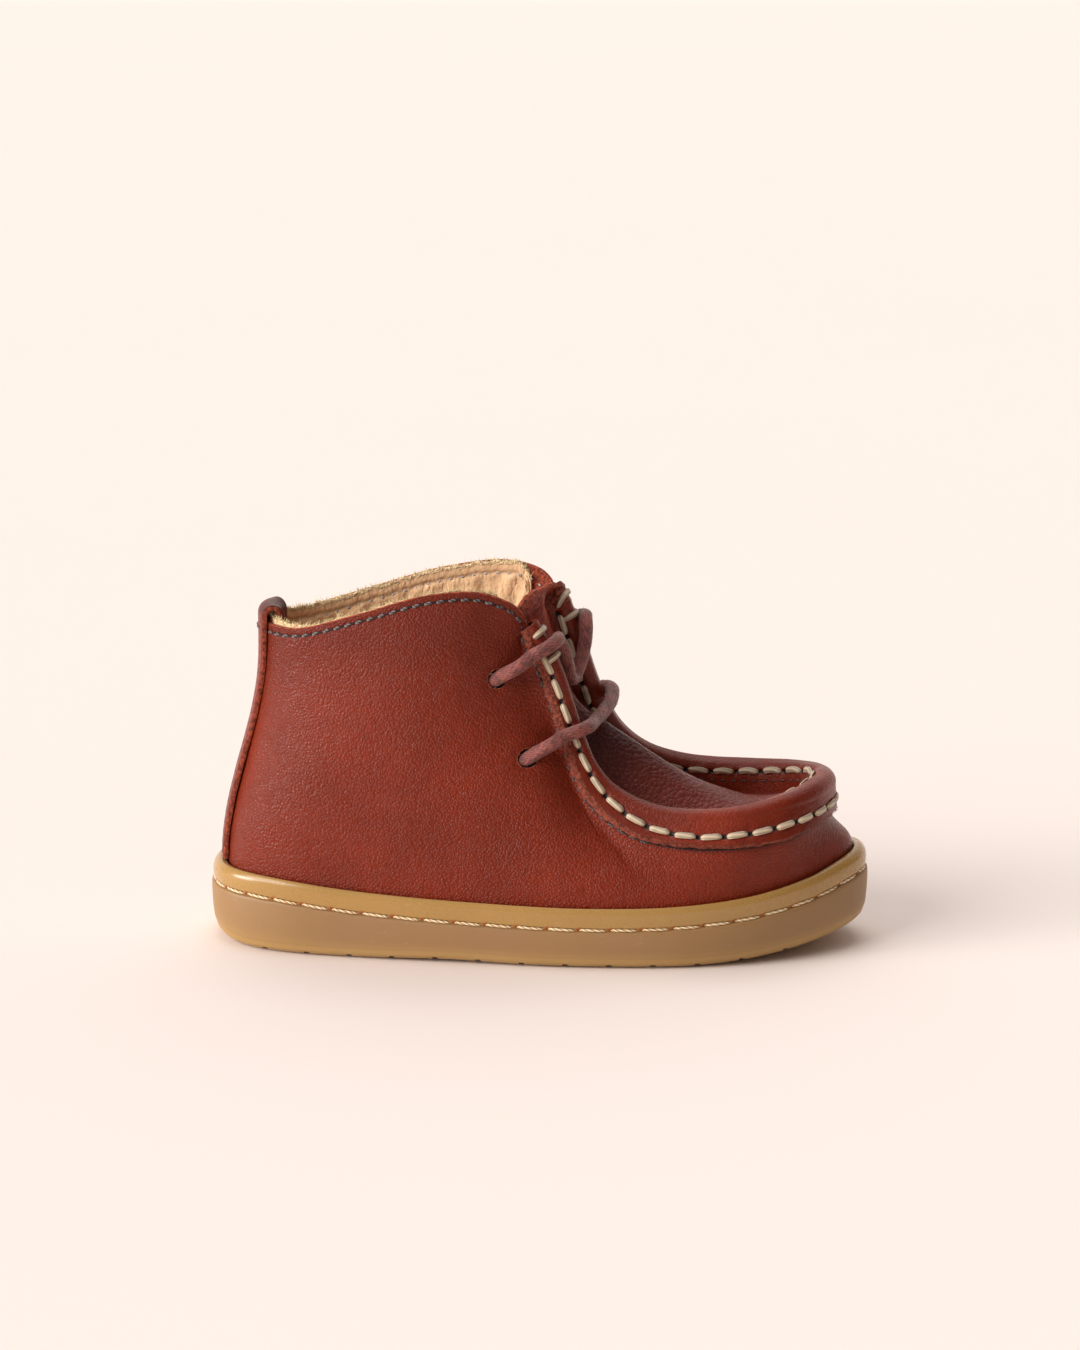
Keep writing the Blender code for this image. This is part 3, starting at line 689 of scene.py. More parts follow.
def lace_route(eyelets, wrap_end, middle):
    outer = lace_half(eyelets[0], OUTER_ROWS, wrap_end)[0]
    inner = lace_half(eyelets[1], INNER_ROWS, wrap_end)[0]
    return smooth_route(outer + list(middle) + inner[::-1], LACE_STEP)


# Meshes


def grid_shape(points, marks=(), closed=True, weld=True):
    """A create_grid moved to points (rows, columns, xyz) in millimetres, with its UV map in metres.
    marks is a dict of one number for each point. closed is for a piece with no free edge."""
    rows, columns = points.shape[:2]
    shape = bmesh.new()
    shape.loops.layers.uv.new("UVMap")
    bmesh.ops.create_grid(shape, x_segments=columns - 1, y_segments=rows - 1, size=0.5, calc_uvs=True)
    mesh = bpy.data.meshes.new("grid")
    shape.to_mesh(mesh)
    mesh.vertices.foreach_set("co", (points * MM).ravel())
    across = running_length(np.swapaxes(points, 0, 1)).mean(axis=1) * MM
    along = running_length(points).mean(axis=1) * MM
    spots = np.stack(np.meshgrid(across, along), axis=-1).reshape(-1, 2)
    corners = np.empty(len(mesh.loops), np.int32)
    mesh.loops.foreach_get("vertex_index", corners)
    mesh.uv_layers[0].data.foreach_set("uv", spots[corners].ravel())
    for name, values in dict(marks).items():
        layer = mesh.attributes.new(name, "FLOAT", "POINT")
        layer.data.foreach_set("value", np.broadcast_to(values, (rows, columns)).ravel().astype(float))
    shape.clear()
    shape.from_mesh(mesh)
    bpy.data.meshes.remove(mesh)
    if weld:
        bmesh.ops.remove_doubles(shape, verts=shape.verts, dist=WELD)
    if closed:
        bmesh.ops.recalc_face_normals(shape, faces=shape.faces)
    return shape


def add_grid(shape, points):
    """One more grid in a shape that holds many like it, with a UV map from 0 to 1 each way."""
    rows, columns = points.shape[:2]
    made = bmesh.ops.create_grid(shape, x_segments=columns - 1, y_segments=rows - 1, size=0.5, calc_uvs=True)
    for vertex, point in zip(made["verts"], (points * MM).reshape(-1, 3)):
        vertex.co = point


def add_piece(name, shape, finish, replaces=()):
    """Links a shape as one piece of the boot, which rides on the boot's one body."""
    mesh = bpy.data.meshes.new(name)
    shape.to_mesh(mesh)
    shape.free()
    mesh.materials.append(finish)
    mesh.shade_smooth()
    made = bpy.data.objects.new(name, mesh)
    bpy.context.scene.collection.objects.link(made)
    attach(made, "root")
    if replaces:
        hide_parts(*replaces)
    return made


def cut_away(target, shape):
    """Cuts a shape out of a piece for good."""
    mesh = bpy.data.meshes.new("cutter")
    shape.to_mesh(mesh)
    shape.free()
    cutter = bpy.data.objects.new("cutter", mesh)
    bpy.context.scene.collection.objects.link(cutter)
    boolean = target.modifiers.new("cut", "BOOLEAN")
    boolean.operation = "DIFFERENCE"
    boolean.solver = "EXACT"
    boolean.object = cutter
    graph = bpy.context.evaluated_depsgraph_get()
    result = bpy.data.meshes.new_from_object(target.evaluated_get(graph))
    old = target.data
    target.modifiers.clear()
    target.data = result
    result.name = old.name
    bpy.data.meshes.remove(old)
    bpy.data.objects.remove(cutter)
    bpy.data.meshes.remove(mesh)


def eyelet_bores(holes, diameter):
    """Round bars through the four eyelets."""
    shape = bmesh.new()
    for hole in holes:
        radius = 0.5 * diameter * MM
        made = bmesh.ops.create_cone(
            shape, cap_ends=True, segments=48, radius1=radius, radius2=radius, depth=EYELET_CUT * MM
        )["verts"]
        turn = Vector(hole.way).to_track_quat("Z", "Y").to_matrix()
        bmesh.ops.rotate(shape, verts=made, matrix=turn)
        bmesh.ops.translate(shape, verts=made, vec=Vector(hole.middle) * MM)
    return shape


def tube(line, sideways, radii, sides, flat=1.0):
    """Rings round a line of points: an ellipse in each, flat times as high as it is wide."""
    along = unit(np.gradient(line, axis=0))
    up = unit(sideways - np.sum(sideways * along, axis=1, keepdims=True) * along)
    across = np.cross(along, up)
    turns = np.linspace(0, 2 * np.pi, sides + 1)
    radii = np.asarray(radii, float)
    radii = radii[:, :, None] if radii.ndim == 2 else np.broadcast_to(radii, len(line))[:, None, None]
    ring = np.cos(turns)[None, :, None] * across[:, None] + flat * np.sin(turns)[None, :, None] * up[:, None]
    return line[:, None] + radii * ring


def stitch(start, end, normal, width, height, lift, stations, sides, bow=None):
    """One stitch over a surface: it rises out of its first hole and goes back down into the next."""
    t = 0.5 - 0.5 * np.cos(np.pi * np.linspace(0, 1, stations))
    off = np.abs(2 * t - 1)
    arch = 1 - off**5
    raised = arch * lift - (1 - arch) * STITCH_SINK * height
    line = start + t[:, None] * (end - start) + raised[:, None] * normal
    if bow is not None:
        line = line + np.sin(np.pi * t)[:, None] * bow
    radii = 0.5 * width * np.sqrt(np.clip(1 - off**7, 0, 1))
    return tube(line, np.broadcast_to(normal, line.shape), radii, sides, flat=height / width)


def sewn(name, stitches, finish):
    shape = bmesh.new()
    shape.loops.layers.uv.new("UVMap")
    for points in stitches:
        add_grid(shape, points)
    bmesh.ops.remove_doubles(shape, verts=shape.verts, dist=WELD)
    bmesh.ops.recalc_face_normals(shape, faces=shape.faces)
    return add_piece(name, shape, finish)


def spaced(points, pitch, length, start=0.0):
    """Places along a line of points for stitches: for each, the two ends as numbers along the line."""
    total = running_length(points)
    first = np.arange(start, total[-1] - length, pitch)
    count = np.arange(len(points))
    return [(np.interp(at, total, count), np.interp(at + length, total, count)) for at in first]


def along_line(points, at):
    count = np.arange(len(points))
    return np.array([np.interp(at, count, points[:, axis]) for axis in range(3)])


def fuzz(name, roots, ways, reach, width, finish):
    """Fine loose fibres: each stands on its root, leans its own way and thins out to a point."""
    random = np.random.default_rng(len(roots))
    shape = bmesh.new()
    shape.loops.layers.uv.new("UVMap")
    t = np.linspace(0, 1, 4)[:, None]
    for root, way in zip(roots, ways):
        lean, curl = random.normal(0, 0.5, (2, 3))
        size = reach * random.uniform(0.35, 1.0)
        line = root + size * (t * unit(way + lean) + 0.5 * t * t * curl) - FIBRE_ROOT * way
        add_grid(shape, tube(line, np.broadcast_to(way, line.shape), width * np.array(FIBRE_TAPER), sides=3))
    bmesh.ops.recalc_face_normals(shape, faces=shape.faces)
    return add_piece(name, shape, finish)


def sewn_row(points, outs, pitch, length, start=0.0, way=1, part=1.0, **shape):
    """Stitches along a line on a surface; part is how much of each one's length shows."""
    made = []
    for a, b in spaced(points, pitch, length, start):
        normal = way * unit(along_line(outs, 0.5 * (a + b)))
        end = a + part * (b - a)
        made.append(stitch(along_line(points, a), along_line(points, end), normal, **shape))
    return made


def close_ends(shape):
    """Fills the open ends of a tube-like shape and turns its faces outward."""
    bmesh.ops.holes_fill(shape, edges=[edge for edge in shape.edges if edge.is_boundary], sides=0)
    bmesh.ops.recalc_face_normals(shape, faces=shape.faces)


def carried(line):
    """A direction across a line of points that turns as little as it can along it."""
    along = unit(np.gradient(line, axis=0))
    across = [unit(np.cross(along[0], (0.3, 1.0, 0.2)))]
    for way in along[1:]:
        across.append(unit(across[-1] - np.dot(across[-1], way) * way))
    return np.array(across)


# Materials: tones that no user would change, as the shader takes them

WARM_TONE = (0.36, 0.048, 0.015)
# The next three tones are painted shade: near-black in needle holes and eyelet bores, dark inside the
# lining's eyelet bores, and in the collar's needle holes.
HOLE_SHADE_TONE = (0.006, 0.003, 0.003)
BORE_SHADE_TONE = (0.02, 0.008, 0.006)
NEEDLE_SHADE_TONE = (0.012, 0.007, 0.007)
DUST_TONE = (0.75, 0.68, 0.58)
FLECK_TONE = (0.72, 0.62, 0.54)
NOTCH_TONE = (0.36, 0.12, 0.022)


def srgb(red, green, blue):
    """A colour as a screen gives it, from 0 to 255, turned into the numbers that a shader takes."""
    share = np.array([red, green, blue]) / 255
    linear = np.where(share <= 0.04045, share / 12.92, ((share + 0.055) / 1.055) ** 2.4)
    return tuple(float(v) for v in linear)


def times(colour, factor):
    return tuple(float(factor) * float(v) for v in colour)


class Value:
    """One number of a material. Arithmetic on it adds Math nodes."""

    def __init__(self, finish, socket):
        self.finish = finish
        self.socket = socket

    def math(self, operation, *others):
        inputs = dict(enumerate((self,) + others))
        made = self.finish.node("ShaderNodeMath", {"operation": operation}, inputs)
        return Value(self.finish, made.outputs[0])

    def __add__(self, other):
        return self.math("ADD", other)

    def __sub__(self, other):
        return self.math("SUBTRACT", other)

    def __rsub__(self, other):
        return self * -1 + other

    def __mul__(self, other):
        return self.math("MULTIPLY", other)

    __radd__ = __add__
    __rmul__ = __mul__

    def least(self, other):
        return self.math("MINIMUM", other)

    def most(self, other):
        return self.math("MAXIMUM", other)

    def between(self, low, high):
        """0 below low and 1 above high, with a smooth step between them. low may be the larger."""
        made = self.finish.node(
            "ShaderNodeMapRange",
            {"interpolation_type": "SMOOTHSTEP"},
            {"Value": self, 1: low, 2: high, 3: 0.0, 4: 1.0},
        )
        return Value(self.finish, made.outputs[0])


class Finish:
    """A material while it is put together."""

    def __init__(self, name, constants=()):
        self.material = bpy.data.materials.new(name)
        self.material.use_nodes = True
        self.tree = self.material.node_tree
        self.shader = self.tree.nodes["Principled BSDF"]
        for socket, value in dict(constants).items():
            self.shader.inputs[socket].default_value = value
        coordinates = self.node("ShaderNodeTexCoord").outputs
        self.at, self.uv = coordinates["Object"], coordinates["UV"]

    def feed(self, socket, value):
        if isinstance(value, Value):
            value = value.socket
        if isinstance(value, bpy.types.NodeSocket):
            self.tree.links.new(value, socket)
        elif socket.type == "RGBA" and len(value) == 3:
            socket.default_value = (*value, 1)
        else:
            socket.default_value = value

    def node(self, kind, settings=(), inputs=()):
        """Any node: its settings are made first, then its sockets get values or links."""
        made = self.tree.nodes.new(kind)
        for name, value in dict(settings).items():
            setattr(made, name, value)
        for name, value in dict(inputs).items():
            self.feed(made.inputs[name], value)
        return made

    def noise(self, at, size, detail=2.0, roughness=0.5):
        """Cloudy noise about 0.5, with features of the given size in metres."""
        inputs = {"Vector": at, "Scale": 1 / size, "Detail": detail, "Roughness": roughness}
        return Value(self, self.node("ShaderNodeTexNoise", {}, inputs).outputs["Fac"])

    def cells(self, at, size, feature="F1"):
        """Distance from the middle of a pebble (F1) or from the crease round it (DISTANCE_TO_EDGE)."""
        cells = self.node("ShaderNodeTexVoronoi", {"feature": feature}, {"Vector": at, "Scale": 1 / size})
        return Value(self, cells.outputs["Distance"])

    def mark(self, name):
        """A number that the mesh carries at its points."""
        return Value(self, self.node("ShaderNodeAttribute", {"attribute_name": name}).outputs["Fac"])

    def vector(self, operation, *inputs):
        made = self.node("ShaderNodeVectorMath", {"operation": operation}, dict(enumerate(inputs)))
        return made.outputs[0]

    def length(self, at):
        made = self.node("ShaderNodeVectorMath", {"operation": "LENGTH"}, {0: at})
        return Value(self, made.outputs["Value"])

    def warped(self, at, size, reach):
        """Coordinates pushed about by noise, by up to reach metres."""
        cloud = self.node("ShaderNodeTexNoise", {}, {"Vector": at, "Scale": 1 / size, "Detail": 1.0})
        push = self.vector("SUBTRACT", cloud.outputs["Color"], (0.5, 0.5, 0.5))
        return self.vector("ADD", at, self.vector("MULTIPLY", push, (2 * reach, 2 * reach, 2 * reach)))

    def stretched(self, at, scale, turn=(0, 0, 0)):
        inputs = {"Vector": at, "Scale": scale, "Rotation": turn}
        return self.node("ShaderNodeMapping", {}, inputs).outputs["Vector"]

    def axis(self, at, name):
        return Value(self, self.node("ShaderNodeSeparateXYZ", {}, {0: at}).outputs[name])

    def mix(self, factor, low, high):
        return self.node("ShaderNodeMix", {"data_type": "RGBA"}, {0: factor, 6: low, 7: high}).outputs[2]

    def done(self, colour, roughness, height=None):
        """Feeds the shader: height is in millimetres."""
        self.feed(self.shader.inputs["Base Color"], colour)
        self.feed(self.shader.inputs["Roughness"], roughness)
        if height is not None:
            bump = self.node("ShaderNodeBump", {}, {"Strength": 1.0, "Distance": MM, "Height": height})
            self.feed(self.shader.inputs["Normal"], bump.outputs[0])
        return self.material


def eyelet_distance(finish):
    """Distance in metres from the axis of the nearest eyelet."""
    nearest = None
    for hole in eyelet_holes():
        from_middle = finish.vector("SUBTRACT", finish.at, tuple(hole.middle * MM))
        across = finish.vector("CROSS_PRODUCT", from_middle, tuple(hole.way))
        away = finish.length(across) + (finish.length(from_middle) - EYELET_REACH * MM).most(0.0)
        nearest = away if nearest is None else nearest.least(away)
    return nearest


def leather(name, tones, raw_tone, pebble, relief, roughness, shine, eyelets=False):
    """Full-grain leather: tones are its deep, middle and light colours, pebble is the size of its grain and
    relief its height. The mesh marks raw edges (raw), needle holes painted near-black as shade (hole),
    painted shade in creases, hollows and under overlaps (shade) and wear (warm)."""
    finish = Finish(name, {"Specular IOR Level": shine, "Coat Roughness": 0.3, "Coat Weight": 0.02})
    deep, middle, light = tones
    at = finish.at
    cloud = finish.noise(at, 0.024, 2)
    patch = finish.noise(at, 0.0024, 4, 0.6)
    speck = finish.noise(at, 0.0006, 2, 0.6)
    bent = finish.warped(at, 0.004, 0.0007)
    pebbles = finish.cells(bent, pebble)
    creases = finish.cells(bent, pebble, "DISTANCE_TO_EDGE").between(0.2, 0.0)
    pore_field = finish.cells(at, 0.0013).between(0.16, 0.05)
    tone = cloud * 0.6 + patch * 0.25 + speck * 0.15
    colour = finish.mix(tone.between(0.38, 0.7), times(middle, 0.9), light)
    colour = finish.mix((creases * 0.35 + pore_field * 0.3).least(0.8), colour, deep)
    colour = finish.mix(finish.mark("warm"), colour, finish.mix(patch.between(0.3, 0.7), middle, WARM_TONE))
    # Painted shade: the shade mark darkens towards the deep tone, and its strongest part far darker still.
    shade = finish.mark("shade")
    colour = finish.mix(shade.between(0.0, 1.0), colour, deep)
    colour = finish.mix(shade.between(0.75, 1.0), colour, times(deep, 0.16))
    raw = finish.mark("raw")
    # Painted shade: needle holes, and with eyelets the bores, go near-black.
    hole = finish.mark("hole").between(0.2, 0.6)
    if eyelets:
        away = eyelet_distance(finish)
        raw = raw.most(away.between(0.00246, 0.00232) * 0.9)
        hole = hole.most(away.between(0.00225, 0.00217))
    fluff = finish.noise(finish.warped(at, 0.0008, 0.0004), 0.0009, 3, 0.65)
    suede = finish.mix(fluff.between(0.36, 0.64), times(raw_tone, 0.34), raw_tone)
    raw = raw.between(0.35, 0.65)
    colour = finish.mix(raw, colour, suede)
    colour = finish.mix(hole, colour, HOLE_SHADE_TONE)
    gloss = roughness + (patch - 0.5) * 0.12 + creases * 0.1 + raw * 0.4
    height = pebbles * (-1.7 * relief) + creases * (-0.5 * relief) + speck * (0.25 * relief) + patch * 0.05
    height = height * (1 - raw) + fluff * raw * 0.7
    return finish.done(colour, gloss.least(0.95), height)


def lining_leather(name, tone, deep):
    """Soft unfinished leather: small wrinkles that run up and down, and a fine crackle over them."""
    finish = Finish(name, {"Specular IOR Level": 0.35, "Sheen Weight": 0.15, "Sheen Roughness": 0.5})
    at = finish.at
    cloud = finish.noise(at, 0.012, 3)
    speck = finish.noise(at, 0.0006, 3, 0.6)
    pebbles = finish.cells(finish.warped(at, 0.0014, 0.0005), 0.0009)
    tall = finish.stretched(at, (1, 1, 0.45))
    folds = finish.noise(tall, 0.0022, 3, 0.6)
    crackle = finish.cells(finish.warped(tall, 0.002, 0.0014), 0.0022, "DISTANCE_TO_EDGE").between(0.22, 0.0)
    crackle = crackle * cloud.between(0.35, 0.6)
    shade = finish.mark("shade").between(0.0, 1.0)
    colour = finish.mix((cloud * 0.6 + speck * 0.4).between(0.3, 0.7), deep, tone)
    # Painted shade in the low parts of the folds; the crackle's lines are the leather's own darker grain.
    colour = finish.mix(folds.between(0.5, 0.3) * 0.4 + crackle * 0.35, colour, deep)
    # Painted shade from the mesh's shade mark.
    colour = finish.mix(shade * 0.8, colour, times(deep, 0.45))
    raw = finish.mark("raw").between(0.3, 0.7)
    pale = tuple(min(1.0, v) for v in times(tone, 1.22))
    nap = finish.mix(speck.between(0.42, 0.58), times(tone, 0.6), pale)
    colour = finish.mix(raw, colour, nap)
    # Painted shade on the lining round and inside each eyelet bore.
    colour = finish.mix(eyelet_distance(finish).between(0.0045, 0.003), colour, BORE_SHADE_TONE)
    height = pebbles * -0.08 + speck * 0.05 + folds * 0.4 - crackle * 0.14 + raw * speck * 0.7
    return finish.done(colour, 0.52 + raw * 0.4, height)


def gum_rubber(name, band, side, foot):
    """Moulded gum rubber: a clearer, shinier roll over the stitches and a duller side under them."""
    finish = Finish(name, {"Subsurface Weight": 0.12, "Subsurface Scale": 0.002, "Coat Roughness": 0.16})
    finish.shader.inputs["Subsurface Radius"].default_value = (1.0, 0.5, 0.2)
    at = finish.at
    cloud = finish.noise(at, 0.03, 3)
    speck = finish.noise(at, 0.0008, 3, 0.6)
    roll = finish.mark("roll").between(0.4, 0.6)
    low = finish.mark("foot").between(0.0, 1.0)
    notch = finish.mark("notch").between(0.25, 0.8)
    colour = finish.mix(low, side, foot)
    colour = finish.mix(roll, colour, band)
    colour = finish.mix(cloud.between(0.3, 0.75) * 0.3, colour, times(band, 0.82))
    dust = finish.noise(finish.stretched(at, (1, 1, 2.5)), 0.004, 4, 0.7).between(0.6, 0.8)
    colour = finish.mix(dust * 0.12, colour, DUST_TONE)
    flecks = finish.noise(at, 0.0012, 3, 0.7).between(0.52, 0.6) * finish.mark("rim").between(0.2, 0.6)
    colour = finish.mix(flecks * 0.8, colour, FLECK_TONE)
    colour = finish.mix(notch, colour, NOTCH_TONE)
    gloss = 0.47 - roll * 0.2 + (cloud - 0.5) * 0.1 + (speck - 0.5) * 0.1
    finish.feed(finish.shader.inputs["Coat Weight"], roll * 0.32)
    height = speck * 0.012 + cloud * 0.1
    return finish.done(colour, gloss, height)


def thread(name, light, dark, plies, turns, relief, roughness=0.55):
    """Twisted thread: the UV map runs once round a stitch and once along it."""
    finish = Finish(name, {"Sheen Weight": 0.2, "Sheen Roughness": 0.4})
    around = finish.axis(finish.uv, "X")
    along = finish.axis(finish.uv, "Y")
    turn = (around * plies + along * turns) * (2 * np.pi)
    ridge = turn.math("SINE") * 0.5 + 0.5
    fine = finish.noise(finish.at, 0.00025, 3, 0.7)
    cloud = finish.noise(finish.at, 0.004, 2)
    # Painted highlight and shade: the ridge of each ply is lighter and the groove between plies darker; the
    # fine and cloudy tone over them is random.
    tone = (ridge * 0.6 + fine * 0.5 + (cloud - 0.5) * 0.5).between(0.15, 0.9)
    colour = finish.mix(tone, dark, light)
    return finish.done(colour, roughness, ridge * relief + fine * 0.5 * relief)


def lace_cotton(name, light, dark):
    """Waxed round lace: fine plies wound round it. The UV map is in metres, the long way along the lace."""
    finish = Finish(name, {"Specular IOR Level": 0.45, "Sheen Weight": 0.2, "Sheen Roughness": 0.45})
    around = finish.axis(finish.uv, "X")
    along = finish.axis(finish.uv, "Y")
    turn = around * (2 * np.pi / 0.00052) + along * (2 * np.pi / 0.0012)
    ply = turn.math("SINE") * 0.5 + 0.5
    back = (around * (2 * np.pi / 0.0013) - along * (2 * np.pi / 0.0021)).math("SINE") * 0.5 + 0.5
    hairs = finish.noise(finish.stretched(finish.uv, (2600, 700, 1), (0, 0, 0.5)), 1.0, 4, 0.75)
    cloud = finish.noise(finish.at, 0.003, 3)
    # The plies' ridges are painted slightly lighter than their grooves, as painted highlight and shade; the
    # hairs' streaks are random tone.
    tone = ply * 0.14 + back * 0.06 + hairs * 0.8 + (cloud - 0.5) * 0.5
    colour = finish.mix(tone.between(0.38, 0.66), dark, light)
    return finish.done(colour, 0.5 + (hairs - 0.5) * 0.3, ply * 0.06 + back * 0.04 + hairs * 0.3)


def plain(name, colour, roughness):
    finish = Finish(name)
    speck = finish.noise(finish.at, 0.0004, 2)
    return finish.done(finish.mix(speck, times(colour, 0.7), colour), roughness)


# Sizes and colours that a user would change


def length(name, description, millimetres):
    return FloatProperty(
        name=name, description=description, default=millimetres * MM, min=0, unit="LENGTH", precision=5
    )


def number(name, description, value, **limits):
    return FloatProperty(name=name, description=description, default=value, **limits)


def colour(name, description, value):
    return FloatVectorProperty(
        name=name, description=description, default=value, size=3, subtype="COLOR", min=0, max=1
    )


class BootSole(bpy.types.PropertyGroup):
    """Sizes and colours of the cup sole"""

    stitch_pitch: length("Stitch pitch", "From one stitch of the sole to the next", 7.4)
    stitch_length: length("Stitch length", "Part of each stitch that shows", 6.7)
    thread_width: length("Thread", "Width of the sole's thread", 0.68)
    band: colour("Rim roll", "Clear rubber over the stitches", srgb(173, 132, 69))
    side: colour("Side", "Duller rubber under the stitches", srgb(152, 115, 75))
    foot: colour("Foot", "Edge next to the ground", srgb(176, 140, 86))


class BootLeather(bpy.types.PropertyGroup):
    """Sizes and colours of the leather pieces"""

    outer_share: number("Outer share", "Outer leather's share of the wall", OUTER_SHARE, min=0.3, max=0.8)
    grain: length("Grain", "Size of the quarter's pebbles", 0.65)
    apron_grain: length("Apron grain", "Size of the apron's pebbles", 1.15)
    crease_depth: length("Creases", "Depth of the quarter's main creases", 0.22)
    quarter: colour("Quarter", "Middle tone of the quarter", srgb(125, 38, 13))
    apron: colour("Apron", "Middle tone of the apron", srgb(124, 43, 30))
    raw: colour("Raw edge", "Cut edges of the leather", srgb(166, 78, 54))
    lining: colour("Lining", "Soft leather inside", srgb(255, 209, 160))


class BootStitching(bpy.types.PropertyGroup):
    """Sizes and colours of the seam's and the collar's stitches"""

    seam_pitch: length("Seam pitch", "From one cream stitch to the next", 6.2)
    seam_length: length("Seam stitch", "Length of a cream stitch", 5.0)
    seam_width: length("Seam thread", "Width of a cream stitch", 1.5)
    collar_pitch: length("Collar pitch", "From one collar stitch to the next", 2.9)
    collar_length: length("Collar stitch", "Length of a collar stitch", 1.8)
    collar_below: length("Collar line", "How far the collar's stitches are below its edge", 1.4)
    cream: colour("Cream", "Waxed thread of the seam", srgb(212, 190, 160))
    grey: colour("Grey", "Thread of the collar", srgb(104, 98, 97))


class BootLace(bpy.types.PropertyGroup):
    """Size and colour of the lace"""

    diameter: length("Diameter", "Thickness of the lace", LACE_DIAMETER)
    cotton: colour("Cotton", "Light tone of the lace", srgb(164, 86, 76))


class BootStage(bpy.types.PropertyGroup):
    """Camera, light and floor"""

    eye: FloatVectorProperty(
        name="Camera",
        description="Where the camera stands",
        default=(0.0643, -0.914, 0.2742),
        subtype="TRANSLATION",
    )
    tilt: number("Tilt", "Camera's turn up from looking down", np.radians(77.12), unit="ROTATION")
    turn: number("Turn", "Camera's turn to the left", np.radians(4.0), unit="ROTATION")
    lens: number("Lens", "Focal length in millimetres", 104.37, min=1)
    sky: number("Room light", "Light from the bright side of the room", 0.44, min=0)
    backdrop: number("Backdrop", "Light from the white room behind", 0.74, min=0)
    key: number("Key light", "Large light on the left", 1.75, min=0)
    side: number("Side light", "Low light on the left, for the heel's sheen", 2.15, min=0)
    top: number("Top light", "Soft light above", 0.72, min=0)
    paper: colour("Floor", "Pale floor and backdrop", srgb(250, 238, 231))


# The pieces


class BOOT_OT_laces(bpy.types.Operator):
    """Make the two laces: the lower one straight across, the upper one slack"""

    bl_idname = "boot.laces"
    bl_label = "Laces"

    def execute(self, context):
        sizes = context.scene.boot_lace
        light = tuple(sizes.cotton)
        finish = lace_cotton("waxed_cotton", light, times(light, 0.26))
        radius = 0.5 * sizes.diameter / MM
        for name, eyelets, wrap_end, middle in (
            ("lace_upper_loop", UPPER_EYELETS, UPPER_WRAP, LOOP),
            ("lace_lower_bar", LOWER_EYELETS, LOWER_WRAP, ()),
        ):
            route = lace_route(eyelets, wrap_end, middle)
            line = smooth_route(route, LACE_RING)
            total = running_length(line)
            turns = np.linspace(0, 2 * np.pi, LACE_SIDES + 1)
            strands = 1 + 0.035 * np.cos(3 * turns[None, :] - 2 * np.pi * total[:, None] / 7.5)
            lumps = np.array([noise.noise(Vector((s / 3.1, len(name), 0.5))) for s in total])
            radii = radius * strands * (1 + 0.03 * lumps[:, None]) * 0.985
            ends = np.clip(np.minimum(total, total[-1] - total) / 0.8, 0.0, 1)
            radii = radii * np.sqrt(1 - (1 - ends[:, None]) ** 2)
            surface = tube(line, carried(line), radii, LACE_SIDES)
            random = np.random.default_rng(len(name))
            ring = random.integers(3, len(line) - 3, LACE_FIBRES)
            roots = surface[ring, random.integers(0, LACE_SIDES, LACE_FIBRES)]
            out, along = unit(roots - line[ring]), unit(np.gradient(line, axis=0)[ring])
            ways = unit(0.6 * out + along)
            fibre = plain(name + "_fibre", light, 0.9)
            fuzz(name + "_fibres", roots, ways, reach=0.75, width=0.075, finish=fibre)
            made = add_piece(name + "_cotton", grid_shape(surface), finish, (name,))
        return {"FINISHED"}


